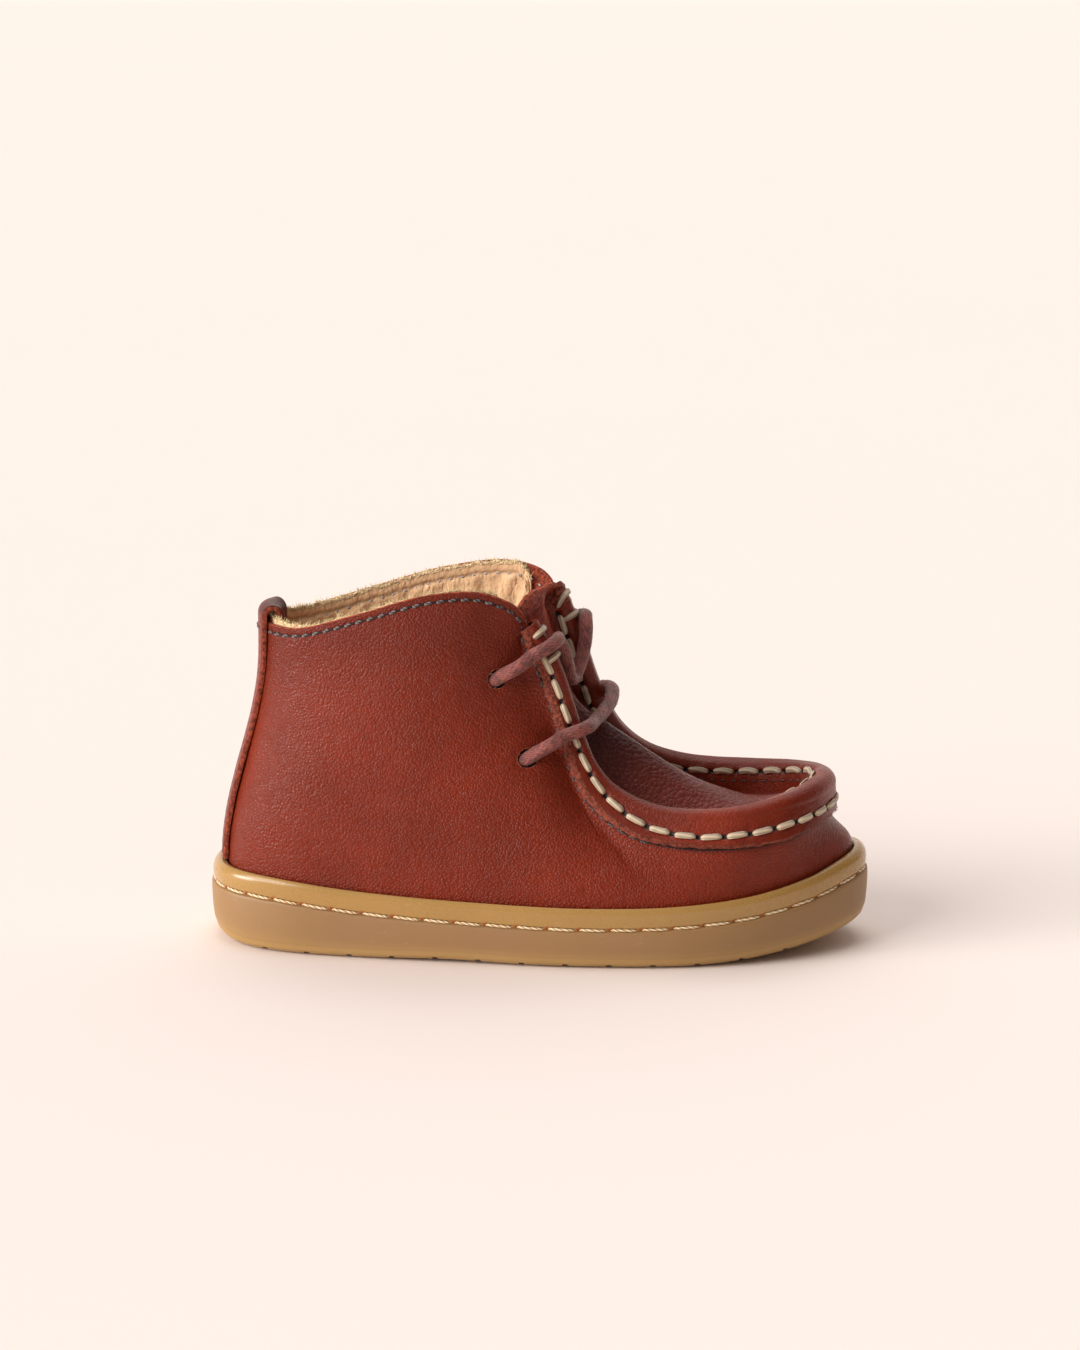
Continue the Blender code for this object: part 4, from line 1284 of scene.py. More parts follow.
class BOOT_OT_sole(bpy.types.Operator):
    """Make the cup sole with its tread, and the thread in its groove"""

    bl_idname = "boot.sole"
    bl_label = "Sole"

    def execute(self, context):
        sizes = context.scene.boot_sole
        degrees, around = even_degrees(SOLE_COLUMNS)
        rim = round_outline("rim", degrees)
        inner = round_outline("inset", degrees) - GAP
        count = max(8, int(round(around / (sizes.stitch_pitch / MM))))
        pitch = around / count
        place = np.linspace(0, around, len(degrees))
        plan_inner = inset_outline(degrees, inner)
        middle = np.column_stack([0.9 * outline_point(degrees)[:, 0], np.zeros(len(degrees))])
        rings, marks = [], {"roll": [], "foot": [], "notch": [], "rim": []}

        def add(points, roll=0.0, foot=0.0, notch=0.0, rim=0.0):
            rings.append(points)
            for name, value in (("roll", roll), ("foot", foot), ("notch", notch), ("rim", rim)):
                marks[name].append(np.broadcast_to(value, len(points)))

        for share in np.linspace(0, 1, 14):
            plan = middle + share * (plan_inner - middle)
            add(at_height(plan, ground_clearance(plan[:, 0]) + CUP_FLOOR))
        for share in np.linspace(0.2, 0.9, 6):
            low = ground_clearance(plan_inner[:, 0]) + CUP_FLOOR
            add(at_height(plan_inner, low + share * (rim - 0.2 - low)))
        steps = np.linspace(0, len(RIM) - 1, RIM_STEPS * (len(RIM) - 1) + 1)
        for share, inset, drop in through(np.arange(len(RIM)), RIM, steps):
            off = (place + 0.9 * (drop - GROOVE_DROP) + 0.5 * pitch) % pitch - 0.5 * pitch
            gap = bell(off, 0.9) * bell(drop - GROOVE_DROP + 0.3, 0.7)
            wave = 0.07 * np.sin(2 * np.pi * place / pitch) * bell(drop - GROOVE_DROP, 1.0)
            plan = inset_outline(degrees, share * inner + inset - 0.9 * gap * max(inset - 0.5, 0))
            over = 1.0 if drop < GROOVE_DROP else 0.0
            add(at_height(plan, rim - drop + wave), roll=over, notch=gap, rim=share > 0.8)
        top = RIM[-1][2]
        for share in np.linspace(0, 1, 16)[1:]:
            plan = inset_outline(degrees, SIDE_FOOT[0][0] * share**2.2)
            low = ground_clearance(plan[:, 0]) + SIDE_FOOT[0][1]
            add(at_height(plan, (1 - share) * (rim - top) + share * low), foot=0.5 * share**4)
        steps = np.linspace(0, len(SIDE_FOOT) - 1, 3 * (len(SIDE_FOOT) - 1) + 1)[1:]
        for inset, height in through(np.arange(len(SIDE_FOOT)), SIDE_FOOT, steps):
            plan = inset_outline(degrees, np.full(len(degrees), inset))
            add(at_height(plan, ground_clearance(plan[:, 0]) + height), foot=0.5 + 0.5 * (height < 2.6))
        edge_plan = rings[-1][:, :2]
        for share in np.linspace(0, 1, 16)[1:]:
            plan = edge_plan + share * (middle - edge_plan)
            add(at_height(plan, ground_clearance(plan[:, 0])), foot=1.0)
        points = np.array(rings)
        shape = grid_shape(points, {name: np.array(rows) for name, rows in marks.items()})
        self.tread(shape)
        finish = gum_rubber("gum_rubber", tuple(sizes.band), tuple(sizes.side), tuple(sizes.foot))
        sole = add_piece("moulded_sole", shape, finish, ("cupsole",))
        sole.data.set_sharp_from_angle(angle=np.radians(40))
        self.sew(sizes, degrees, place, pitch, count)
        return {"FINISHED"}

    def tread(self, shape):
        """Grooves across the tread, open at both sides, and finer ones between them that stop short."""
        for k, x in enumerate(np.arange(TREAD_FIRST, TREAD_LAST, 0.25 * TREAD_PITCH)):
            main = k % 4 == 0
            half = 0.5 * (TREAD_WIDTH if main else FINE_TREAD_WIDTH)
            depth = TREAD_DEPTH if main else FINE_TREAD_DEPTH
            roof = ground_clearance(x) + depth
            station = np.degrees(np.arccos(-x / (0.5 * SOLE_LENGTH)))
            reach = TREAD_REACH if main else FINE_TREAD_REACH * abs(outline_point(station)[1])
            low = []
            for face in shape.faces:
                middle = face.calc_center_median()
                if abs(middle.x - x * MM) < 5 * MM and middle.z < (roof + 0.4) * MM:
                    low.append(face)
            near = list({*low, *(e for f in low for e in f.edges), *(v for f in low for v in f.verts)})
            for edge in (-half, -half + 0.06, half - 0.06, half):
                place = Vector(((x + edge) * MM, 0, 0))
                cut = bmesh.ops.bisect_plane(shape, geom=near, plane_co=place, plane_no=(1, 0, 0), dist=1e-7)
                near = cut["geom"]
            for vertex in (part for part in near if isinstance(part, bmesh.types.BMVert)):
                inside = abs(vertex.co.x / MM - x) < half - 0.05 and abs(vertex.co.y / MM) < reach
                if inside and vertex.co.z / MM < roof:
                    vertex.co.z = roof * MM

    def sew(self, sizes, degrees, place, pitch, count):
        stitches = []
        length_mm = sizes.stitch_length / MM
        width = sizes.thread_width / MM
        for k in range(count):
            start = k * pitch + 0.5 * (pitch - length_mm)
            where = np.array([start, start + 0.5 * length_mm, start + length_mm])
            at = np.interp(where % place[-1], place, degrees)
            plan = inset_outline(at, np.full(3, 0.8))
            height = round_outline("rim", at) - GROOVE_DROP + np.array([0.1, 0.02, -0.1])
            first, middle, last = at_height(plan, height)
            out = at_height(outward_from(at), 0)[1]
            bow = middle - 0.5 * (first + last)
            made = stitch(first, last, out, width, 0.8 * width, lift=0.12, stations=11, sides=8, bow=bow)
            stitches.append(made)
        light, dark = srgb(255, 238, 200), srgb(196, 146, 88)
        finish = thread("sole_thread", light, dark, plies=2, turns=6, relief=0.12)
        sewn("sole_stitches", stitches, finish)


def eased(face, rows):
    """The wall with its front corners rounded off, away from the top edge."""
    below = running_length(face[::-1])[::-1]
    near = bell(from_heel(rows) - 7.0, 2.6) * ramp(below, 4.5, 9.0)
    ring = face[:, :-1]
    for _ in range(EASE_PASSES):
        smooth = 0.25 * np.roll(ring, 1, axis=1) + 0.5 * ring + 0.25 * np.roll(ring, -1, axis=1)
        ring = ring + near[:, :-1, None] * (smooth - ring)
    return np.concatenate([ring, ring[:, :1]], axis=1)


def wall_bumps(face, levels, depth):
    """How far the quarters' face moves out at each point: soft waves, creases and hollows by the lace, and
    the painted shade in those creases and hollows.
    """
    x, y, z = np.moveaxis(face, -1, 0)
    on_wall_share = ramp(levels, 1.4, 4) * ramp(-levels, 0.6 - TOP, 2)
    move = 0.2 * ripple(face, 17.0, 3.0) + 0.07 * ripple(face, 6.5, 9.0)
    shade = np.zeros_like(x)
    for side, line, width, strength in CREASES:
        line = np.array(line)
        fine = smooth_route(np.column_stack([line[:, 0], np.zeros(len(line)), line[:, 1]]), 0.8)
        away = np.full(x.shape, 1e3)
        share = np.zeros_like(x)
        for k, point in enumerate(fine):
            far = np.hypot(x - point[0], z - point[2])
            share = np.where(far < away, k / (len(fine) - 1), share)
            away = np.minimum(far, away)
        ends = np.sin(np.pi * np.clip(share, 0.02, 0.98)) ** 0.6
        on_side = (y * side) > 0
        dip = bell(away, width) * ends * on_side * strength
        swell = bell(away - 2.0 * width, 1.3 * width) * ends * on_side * strength
        move = move - depth * dip + 0.35 * depth * swell
        # Painted shade along the crease.
        shade = np.maximum(shade, 0.35 * dip)
    move = move * on_wall_share[:, None]
    for hole in eyelet_holes():
        away = np.linalg.norm(np.cross(face - hole.middle, hole.way), axis=-1)
        near = np.linalg.norm(face - hole.middle, axis=-1) < 12
        move = move - 0.45 * bell(away, 2.9) * near + 0.12 * bell(away - 4.2, 1.4) * near
        # Painted shade in the hollow round each eyelet.
        shade = np.maximum(shade, 0.3 * bell(away, 2.6) * near)
    return move, shade


# Main creases of the quarters: side (-1 outer, 1 inner), their line as (x, z), width, and strength
CREASES = (
    (-1, ((-66, 30), (-60, 27.5), (-52, 27), (-44, 29)), 1.0, 0.5),
    (-1, ((-62, 23.5), (-55, 23), (-47, 25), (-40, 28.5)), 0.9, 0.5),
    (-1, ((-50, 21), (-42, 23), (-34, 27)), 1.0, 0.5),
    (-1, ((-22, 78), (-14, 74), (-8, 69)), 1.6, 0.4),
    (-1, ((-34, 40), (-24, 44), (-12, 45)), 2.4, 0.5),
    (-1, ((24, 20), (31, 22), (38, 22)), 1.6, 0.3),
    (1, ((-64, 30), (-56, 27.5), (-47, 28)), 1.0, 0.7),
    (1, ((-60, 24), (-52, 24), (-43, 26.5)), 0.9, 0.6),
    (1, ((-20, 76), (-12, 72), (-4, 68)), 1.6, 0.5),
    (1, ((-32, 42), (-20, 45), (-8, 44)), 2.4, 0.6),
    (1, ((10, 40), (18, 34), (28, 31)), 2.0, 0.6),
)


class BOOT_OT_upper(bpy.types.Operator):
    """Make the outer leather of the quarters, and the lining inside it"""

    bl_idname = "boot.upper"
    bl_label = "Upper and lining"

    def execute(self, context):
        sizes = context.scene.boot_leather
        rows = even_rows(0, TOP_ROWS, UPPER_COLUMNS + 1)
        rows[-1] = 0
        levels = np.concatenate(
            [
                np.linspace(0, 1, 4)[:-1],
                np.linspace(1, KNEE - 3, UPPER_LEVELS)[:-1],
                np.linspace(KNEE - 3, TOP - 1, UPPER_LEVELS)[:-1],
                np.linspace(TOP - 1, TOP, 14),
            ]
        )
        face = eased(refine(wall_profile(rows), levels), rows)
        out = grid_normals(face, closed=True)
        move, shade = wall_bumps(face, levels, sizes.crease_depth / MM)
        thickness = wall_thickness(rows, levels)
        self.outer_leather(sizes, rows, levels, face, out, move, shade, thickness)
        self.lining(sizes, rows, levels, face, out, move, thickness)
        return {"FINISHED"}

    def outer_leather(self, sizes, rows, levels, face, out, move, shade, thickness):
        seam = np.clip(top_line(rows)[:, 5], 0, 1)
        share = sizes.outer_share
        below = running_length(face[::-1])[::-1]
        line = collar_line(rows)
        groove = bell(below - line, 0.45) * (seam < 0.05)
        side = from_heel(rows)
        # Painted shade: a dark line along the stitches beside the binding.
        shade_beside_stitches = np.clip(1.5 * bell(below - line + 0.1, 0.75), 0, 1)
        shade_beside_stitches = shade_beside_stitches * ramp(side, 7, 1) * ramp(-side, -14.5, 1)
        under = top_line(rows)[:, 6] - EDGE_DEPTH
        # Painted shadow under the binding's outer edge, fading out below it.
        shadow_under_binding = ramp(-below, -under - 2.4, 1.4) * ramp(side, 9, 1)
        # Painted shade: the quarter darker towards the collar.
        shade_towards_collar = 0.5 * ramp(face[:, :, 2], 50, 26)
        shade = np.maximum.reduce([shade, shade_beside_stitches, shadow_under_binding, shade_towards_collar])
        face_out = face + (move - 0.12 * groove)[:, :, None] * out
        wall = share * thickness
        top, up = face_out[-1], unit(face[-1] - face[-2])
        half = 0.5 * wall[-1][:, None]
        centre = top - half * out[-1]
        ragged = 0.05 * ripple(top, 1.7, 5.0)[:, None]
        edge = []
        for turn in np.radians(np.linspace(0, 180, 11))[1:-1]:
            flat = np.sign(np.cos(turn)) * abs(np.cos(turn)) ** 0.7
            rise = 0.75 * half * np.sin(turn) ** 0.7 + ragged * np.sin(turn)
            edge.append(centre + half * flat * out[-1] + rise * up)
        inside = face_out - wall[:, :, None] * out
        keep = np.linspace(0, len(levels) - 1, 30).astype(int)[::-1]
        points = np.concatenate([face_out, np.array(edge), inside[keep], face_out[:1]])
        raw = np.concatenate([np.zeros(len(levels)), np.ones(len(edge) + len(keep)), [0]])
        raw[len(levels)] = 0.5
        marks = {
            "raw": raw[:, None],
            "shade": np.concatenate([shade, np.zeros((len(points) - len(levels), len(rows)))]),
            "hole": 0.0,
        }
        shape = grid_shape(points, marks)
        middle = tuple(sizes.quarter)
        finish = leather(
            "quarter_leather",
            [times(middle, share) for share in (0.5, 1, 1.22)],
            times(sizes.raw, 1.35),
            sizes.grain,
            relief=0.085,
            roughness=0.28,
            shine=0.235,
            eyelets=True,
        )
        made = add_piece("quarter_leather", shape, finish, ("upper",))
        cut_away(made, eyelet_bores(eyelet_holes(), EYELET_DIAMETER))
        made.data.shade_smooth()
        made.data.set_sharp_from_angle(angle=np.radians(45))

    def lining(self, sizes, rows, levels, face, out, move, thickness):
        seam = np.clip(top_line(rows)[:, 5], 0, 1)
        share = sizes.outer_share
        heel = bell(from_heel(rows), 1.6)
        last = np.interp(seam, (0.05, 0.4), (len(levels) - 1, np.searchsorted(levels, KNEE - 5)))
        places = np.arange(len(levels))[:, None] / (len(levels) - 1) * last[None, :]
        low = np.minimum(places.astype(int), len(levels) - 2)
        columns = np.arange(len(rows))[None, :]

        def lowered(values):
            part = np.reshape(places - low, low.shape + (1,) * (values.ndim - 2))
            return (1 - part) * values[low, columns] + part * values[low + 1, columns]

        face, out, move, thickness = (lowered(each) for each in (face, out, move, thickness))
        base = face + 0.5 * move[:, :, None] * out
        up = np.array([0, 0, 1.0])
        rise = 0.3 + 1.5 * heel + 0.3 * ripple(face[-1], 1.9, 4.0) + 0.5 * ripple(face[-1], 0.8, 2.0)
        rise = rise * (seam < 0.3)
        steps = np.linspace(0, 1, 5)[1:]
        for step in steps:
            base = np.concatenate([base, (base[len(levels) - 1] + step * rise[:, None] * up)[None]])
        out = np.concatenate([out, np.repeat(out[-1:], len(steps), axis=0)])
        thick = np.concatenate([thickness, np.repeat(thickness[-1:], len(steps), axis=0)])
        below = running_length(base[::-1])[::-1]
        stretched = base * np.array([1, 1, 0.3])
        folds = ripple(stretched, 2.6, 7.0) * (0.95 + 0.3 * heel) + 0.25 * ripple(base, 9.0, 2.0)
        folds = np.maximum(folds, -0.4) * (seam < 0.5)
        ease = ramp(below, 2.8, 1.3)
        groove = bell(below - LINING_STITCHES, 0.5) * (seam < 0.3)
        inner_face = base - (thick + folds * ease - 0.3 * groove)[:, :, None] * out
        outer_face = base - (share * thick + 0.04)[:, :, None] * out
        half = 0.5 * np.linalg.norm(outer_face[-1] - inner_face[-1], axis=1)[:, None]
        centre = 0.5 * (outer_face[-1] + inner_face[-1])
        edge = []
        for turn in np.radians(np.linspace(0, 180, 9))[1:-1]:
            edge.append(centre + half * np.cos(turn) * out[-1] + 0.8 * half * np.sin(turn) * up)
        keep = np.arange(3, len(base))
        hidden = np.concatenate([outer_face[keep][::4], outer_face[-1:], np.array(edge)])
        points = np.concatenate([hidden, inner_face[keep][::-1], hidden[:1]])
        shown = slice(len(hidden), -1)
        raw = np.zeros((len(points), len(rows)))
        raw[: len(hidden)] = 1.0
        raw[shown] = below[keep][::-1] < 0.5
        # Painted shade in the lining's stitch groove and in the valleys of its folds.
        dark = np.zeros_like(raw)
        valley_shade = np.clip(-1.1 * folds * ease, 0, 0.5)
        dark[shown] = np.maximum(0.7 * groove, valley_shade)[keep][::-1]
        shape = grid_shape(points, {"raw": raw, "shade": dark})
        tone = tuple(sizes.lining)
        finish = lining_leather("soft_lining", tone, times(tone, 0.8))
        random = np.random.default_rng(7)
        at = random.choice(np.flatnonzero(seam < 0.3), LINING_FIBRES)
        across = random.uniform(-0.9, 0.9, (len(at), 1))
        roots = centre[at] + half[at] * (across * out[-1][at] + 0.5 * up)
        fibre = plain("lining_fibre", tuple(min(1.0, v) for v in times(tone, 1.3)), 0.9)
        ways = np.broadcast_to(up, roots.shape)
        fuzz("lining_fibres", roots, ways, reach=1.25, width=0.13, finish=fibre)
        made = add_piece("soft_lining", shape, finish)
        cut_away(made, eyelet_bores(eyelet_holes(with_lace=True), LACE_DIAMETER + 0.3))
        made.data.shade_smooth()


def collar_line(rows):
    """How far below the upper's top edge the collar's stitches run, at the collar and beside the binding."""
    below = bpy.context.scene.boot_stitching.collar_below / MM
    beside = top_line(np.mod(rows, TOP_ROWS))[:, 6] + 1.4 - EDGE_DEPTH
    blend = ramp(from_heel(rows), 6.2, 1.8)
    return below + blend * blend * (3 - 2 * blend) * (beside - below)


class BOOT_OT_collar_stitches(bpy.types.Operator):
    """Sew the collar's line, which goes on beside the binding, and dark strands of painted shade in its
    needle holes
    """

    bl_idname = "boot.collar_stitches"
    bl_label = "Collar stitches"

    def execute(self, context):
        sizes = context.scene.boot_stitching
        collar, beside, lining, holes = [], [], [], []
        length_mm, pitch = sizes.collar_length / MM, sizes.collar_pitch / MM
        ends = np.array([COLLAR_STITCHES_START, BESIDE_BINDING_END])
        for first, last in (ends, TOP_ROWS - ends):
            rows = np.linspace(first, last, COLLAR_STEPS)
            points, outs = on_wall(rows, collar_line(rows))
            count, total = np.arange(len(rows)), running_length(points)
            for a, b in spaced(points, pitch, length_mm):
                normal = unit(along_line(outs, 0.5 * (a + b)))
                start, end = along_line(points, a), along_line(points, b)
                tip = 0.16 * np.cross(normal, unit(end - start)) * (1 if first < last else -1)
                made = stitch(start - tip, end + tip, normal, 0.72, 0.5, lift=0.16, stations=9, sides=7)
                row = from_heel(np.interp(a, count, rows))
                (beside if row > BESIDE_BINDING_START else collar).append(made)
                # A thin dark strand in each gap between stitches: painted shade of the needle holes.
                back = np.interp(np.interp(a, count, total) - (pitch - length_mm) - 0.1, total, count)
                if back < a:
                    begin = along_line(points, back)
                    holes.append(stitch(begin, start, normal, 0.42, 0.12, lift=0.03, stations=7, sides=6))
        size = {"width": 0.55, "height": 0.4, "lift": 0.1, "stations": 7, "sides": 6}
        ends = np.array([LINING_STITCHES_START, LINING_STITCHES_END])
        for first, last in (ends, TOP_ROWS - ends):
            points, outs = on_wall(np.linspace(first, last, LINING_STEPS), LINING_STITCHES, -(WALL - 0.32))
            lining += sewn_row(points, outs, pitch, length_mm, way=-1, part=0.55, **size)
        # The stitches beside the binding take a much darker copy of the grey thread: painted shade.
        for name, stitches, light, dark, relief, roughness, slot in (
            ("collar", collar, 1.45, 0.12, 0.12, 0.4, "leather"),
            ("side", beside, 0.7, 0.04, 0.14, 0.3, "leather"),
            ("lining", lining, 5.5, 1.2, 0.1, 0.55, "sock_leather"),
        ):
            light, dark = times(sizes.grey, light), times(sizes.grey, dark)
            finish = thread(name + "_thread", light, dark, 2, 2.5, relief, roughness)
            sewn(name + "_stitches", stitches, finish)
        sewn("collar_needle_hole_shade", holes, plain("needle_hole", NEEDLE_SHADE_TONE, 0.8))
        return {"FINISHED"}


class BOOT_OT_apron(bpy.types.Operator):
    """Make the apron over the toe and the tongue that it grows into"""

    bl_idname = "boot.apron"
    bl_label = "Apron and tongue"

    def execute(self, context):
        sizes = context.scene.boot_leather
        from_top = np.linspace(0, len(SPINE) - 1, APRON_STATIONS)
        fine = np.concatenate([np.linspace(0, 3, 16), np.linspace(3, APRON_STEPS + 2, 46)[1:]])
        outer = refine(apron_side(OUTER_SEAM_ROW + from_top, from_top), fine)
        inner = refine(apron_side(INNER_SEAM_ROW - from_top, from_top), fine)
        across = [np.vstack([outer[:, k], inner[-2::-1, k]]) for k in range(len(from_top))]
        ends = [tongue_end(across[0], share) for share in np.linspace(1, 0, 13)[:-1]]
        points = np.array((ends + across)[::-1])
        spine = bell(np.arange(points.shape[1]) - points.shape[1] // 2, 12.0)
        for _ in range(APRON_PASSES):
            smooth = points.copy()
            smooth[:, 1:-1] = 0.25 * points[:, :-2] + 0.5 * points[:, 1:-1] + 0.25 * points[:, 2:]
            points = points + spine[None, :, None] * (smooth - points)
        move = self.bumps(points)
        columns = np.arange(points.shape[1])
        ease = ramp(np.minimum(columns, columns[::-1]), 8, 8)
        points = points + (move * ease)[:, :, None] * np.array([0.35, 0, 0.94])
        raw = np.zeros(points.shape[:2])
        raw[-1] = 1.0
        warm = ramp(points[:, :, 2], 56, 10)
        # Painted shade over the instep, between the two rolls.
        shade = 0.82 * bell(points[:, :, 2] - 50, 10.0)
        shape = grid_shape(points, {"raw": raw, "shade": shade, "hole": 0.0, "warm": warm}, closed=False)
        finish = leather(
            "apron_leather",
            [times(sizes.apron, share) for share in (0.3, 1, 1.25)],
            times(sizes.raw, 1.35),
            sizes.apron_grain,
            relief=0.11,
            roughness=0.36,
            shine=0.27,
        )
        random = np.random.default_rng(13)
        at = random.integers(0, points.shape[1], TONGUE_FIBRES)
        away = np.broadcast_to(np.array([-0.2, 0, 1.0]), (len(at), 3))
        roots = points[-1, at] + random.uniform(-1, 0, (len(at), 1)) * APRON_WALL * np.array([-0.7, 0, 0.3])
        fibre = plain("tongue_fibre", tuple(sizes.raw), 0.9)
        fuzz("tongue_fibres", roots, away, reach=0.7, width=0.11, finish=fibre)
        made = add_piece("apron_and_tongue_leather", shape, finish, ("apron_and_tongue",))
        wall = made.modifiers.new("leather", "SOLIDIFY")
        wall.thickness = APRON_WALL * MM
        wall.offset = -1
        wall.use_even_offset = True
        return {"FINISHED"}

    def bumps(self, points):
        """Slanting wrinkles over the instep and the tongue, and a softly pebbled apron."""
        x, y, z = np.moveaxis(points, -1, 0)
        slanted = np.stack([x + 0.9 * y, y * 0.35, z * 0.8], axis=-1)
        wrinkles = 0.3 * ripple(slanted, 2.2, 11.0) * (0.2 + 0.8 * ramp(z, 52, 14))
        pebbles = 0.05 * ramp(-z, -46, 6) * ripple(points, 1.5, 8.0)
        return wrinkles + 0.2 * ripple(points, 8.0, 6.0) + pebbles


class BOOT_OT_binding(bpy.types.Operator):
    """Make the folded binding over the moccasin seam"""

    bl_idname = "boot.binding"
    bl_label = "Seam binding"

    def execute(self, context):
        sizes = context.scene.boot_leather
        stitching = context.scene.boot_stitching
        rows = even_rows(OUTER_SEAM_ROW, BINDING_END_ROW, BINDING_STATIONS)
        frames = top_frames(rows)
        crest, _, _, values = frames
        place = running_length(crest)
        leg = values[:, 6].copy()
        for height, size, seed in ((0.32, 4.2, 1.0), (0.22, 1.3, 2.0), (0.14, 0.6, 9.0)):
            leg += height * ripple(crest, size, seed)
        raw_width = seam_value("raw", rows)
        throat = ramp(rows, 26.2, 1.2) + ramp(-rows, -11.8, 1.2)
        inner_leg = INNER_LEG + 0.9 + 0.7 * (1 - throat) + 0.12 * ripple(crest, 2.4, 3.0)
        wall = 0.5 * BINDING_WALL
        points, outs, below_at, side_at, raw = [], [], [], [], []

        def face(below, outer, lift, is_raw=0.0):
            spots, normals = binding_face(frames, below, outer, lift)
            points.append(spots)
            outs.append(normals)
            below_at.append(np.broadcast_to(below, len(rows)))
            side_at.append(np.full(len(rows), 1.0 if outer else -1.0))
            raw.append(np.broadcast_to(is_raw, len(rows)))

        shown_leg = leg - raw_width
        for share in np.linspace(1, 0, 20):
            face(EDGE_DEPTH + share * (shown_leg - EDGE_DEPTH), True, 0.0)
        for share in np.linspace(1, 0, 14)[1:]:
            face(EDGE_DEPTH * np.sin(0.5 * np.pi * share), True, 0.0)
        for share in np.linspace(0, 1, 14)[1:]:
            face(EDGE_DEPTH * np.sin(0.5 * np.pi * share), False, 0.0)
        for share in np.linspace(0, 1, 12)[1:]:
            face(EDGE_DEPTH + share * (inner_leg - EDGE_DEPTH), False, -1.7 * throat * wall * share)
        in_sight = len(points)
        face(inner_leg + 0.1, False, -wall * (1 + 0.9 * throat), 1.0 - throat)
        for share in np.linspace(1, 0, 8):
            face(EDGE_DEPTH + share * (inner_leg - EDGE_DEPTH), False, -2 * wall, 1.0)
        for share in np.linspace(1, 0, 8)[1:]:
            face(EDGE_DEPTH * np.sin(0.5 * np.pi * share), False, -2 * wall, 1.0)
        for share in np.linspace(0, 1, 8)[1:]:
            face(EDGE_DEPTH * np.sin(0.5 * np.pi * share), True, -2 * wall, 1.0)
        under_leg = len(points)
        for share in np.linspace(0, 1, 8)[1:]:
            face(EDGE_DEPTH + share * (leg + 0.1 - EDGE_DEPTH), True, -2 * wall, 1.0)
        for share in np.linspace(0, 1, 8)[1:-1]:
            lift = -2 * wall * (1 - share) + 0.14 * np.sin(np.pi * share)
            face(leg + 0.12 - share * (raw_width + 0.12), True, lift, 1.0)
        points, outs = np.array(points), np.array(outs)
        below_at, side_at, raw = np.array(below_at), np.array(side_at), np.array(raw, float)
        line_number = np.arange(len(points))[:, None]
        showing = line_number < in_sight
        hole = np.zeros(raw.shape)
        dip = np.zeros(raw.shape)
        for outer, name in ((True, "outer"), (False, "inner")):
            line = seam_value(name, rows)
            on_side = (side_at > 0) == outer
            holes_at = self.hole_places(frames, rows, stitching, outer)
            off = np.min(np.abs(place[:, None] - holes_at[None, :]), axis=1)
            # Painted shade: each cream stitch's needle hole is marked to go near-black.
            spot = bell(off, 0.62)[None, :] * bell(below_at - line, 0.62) * on_side * showing
            hole = np.maximum(hole, spot)
            dip = dip + 0.5 * spot + 0.16 * bell(below_at - line, 0.9) * on_side * showing
        pleats = np.sin(place / 1.5 + 1.6 * ripple(crest, 5.0, 4.0)) + 0.6 * ripple(crest, 1.3, 6.0)
        pleats = pleats * ramp(rows, 17.5, 1.5) * ramp(-rows, -25.5, 1.5)
        pleats = 0.13 * pleats[None, :] * bell(below_at - 1.0, 0.9) * (side_at < 0) * showing
        torn = ramp(rows, 29.6, 0.3)[None, :] * showing
        raw = np.maximum(raw, torn)
        ragged = 0.2 * ripple(points, 0.9, 3.0) * raw * (line_number > under_leg)
        ragged = ragged + 0.6 * ripple(points, 1.1, 3.0) * torn
        soft = 0.1 * ripple(points, 7.0, 5.0) * showing
        points = points + (pleats + ragged + soft - dip)[:, :, None] * outs
        points = np.concatenate([points, points[:1]])
        marks = {
            "raw": np.concatenate([raw, raw[:1]]),
            "hole": np.concatenate([hole, hole[:1]]),
            "shade": 0.0,
        }
        shape = grid_shape(points, marks, closed=False)
        close_ends(shape)
        finish = leather(
            "binding_leather",
            [times(sizes.quarter, share) for share in (0.42, 0.86, 1.3)],
            times(sizes.raw, 0.8),
            sizes.grain,
            relief=0.045,
            roughness=0.29,
            shine=0.32,
        )
        random = np.random.default_rng(11)
        at = random.integers(0, len(rows), BINDING_FIBRES)
        end = np.flatnonzero(rows > 29.8)
        at[:TORN_FIBRES] = end[at[:TORN_FIBRES] % len(end)]
        band = np.where(np.arange(len(at)) < TORN_FIBRES, leg[at], raw_width[at])
        below = leg[at] - random.uniform(0, 1, len(at)) ** 2 * band
        roots, ways = binding_face(tuple(part[at] for part in frames), below, True)
        fibre = plain("leather_fibre", tuple(sizes.raw), 0.9)
        fuzz("binding_fibres", roots, ways, reach=0.65, width=0.1, finish=fibre)
        made = add_piece("seam_binding_leather", shape, finish, ("seam_binding",))
        made.data.set_sharp_from_angle(angle=np.radians(60))
        return {"FINISHED"}

    def hole_places(self, frames, rows, sizes, outer):
        """Where along the crest each needle hole of one line of cream stitches is."""
        points, _ = binding_face(frames, seam_value("outer" if outer else "inner", rows), outer)
        place = running_length(frames[0])
        total = running_length(points)
        found = []
        start = SEAM_START_OUTER if outer else SEAM_START_INNER
        gap = 0.5 * (sizes.seam_pitch - sizes.seam_length) / MM
        for _, end in spaced(points, sizes.seam_pitch / MM, sizes.seam_length / MM, start):
            found.append(np.interp(np.interp(end, np.arange(len(total)), total) + gap, total, place))
        return np.array(found)


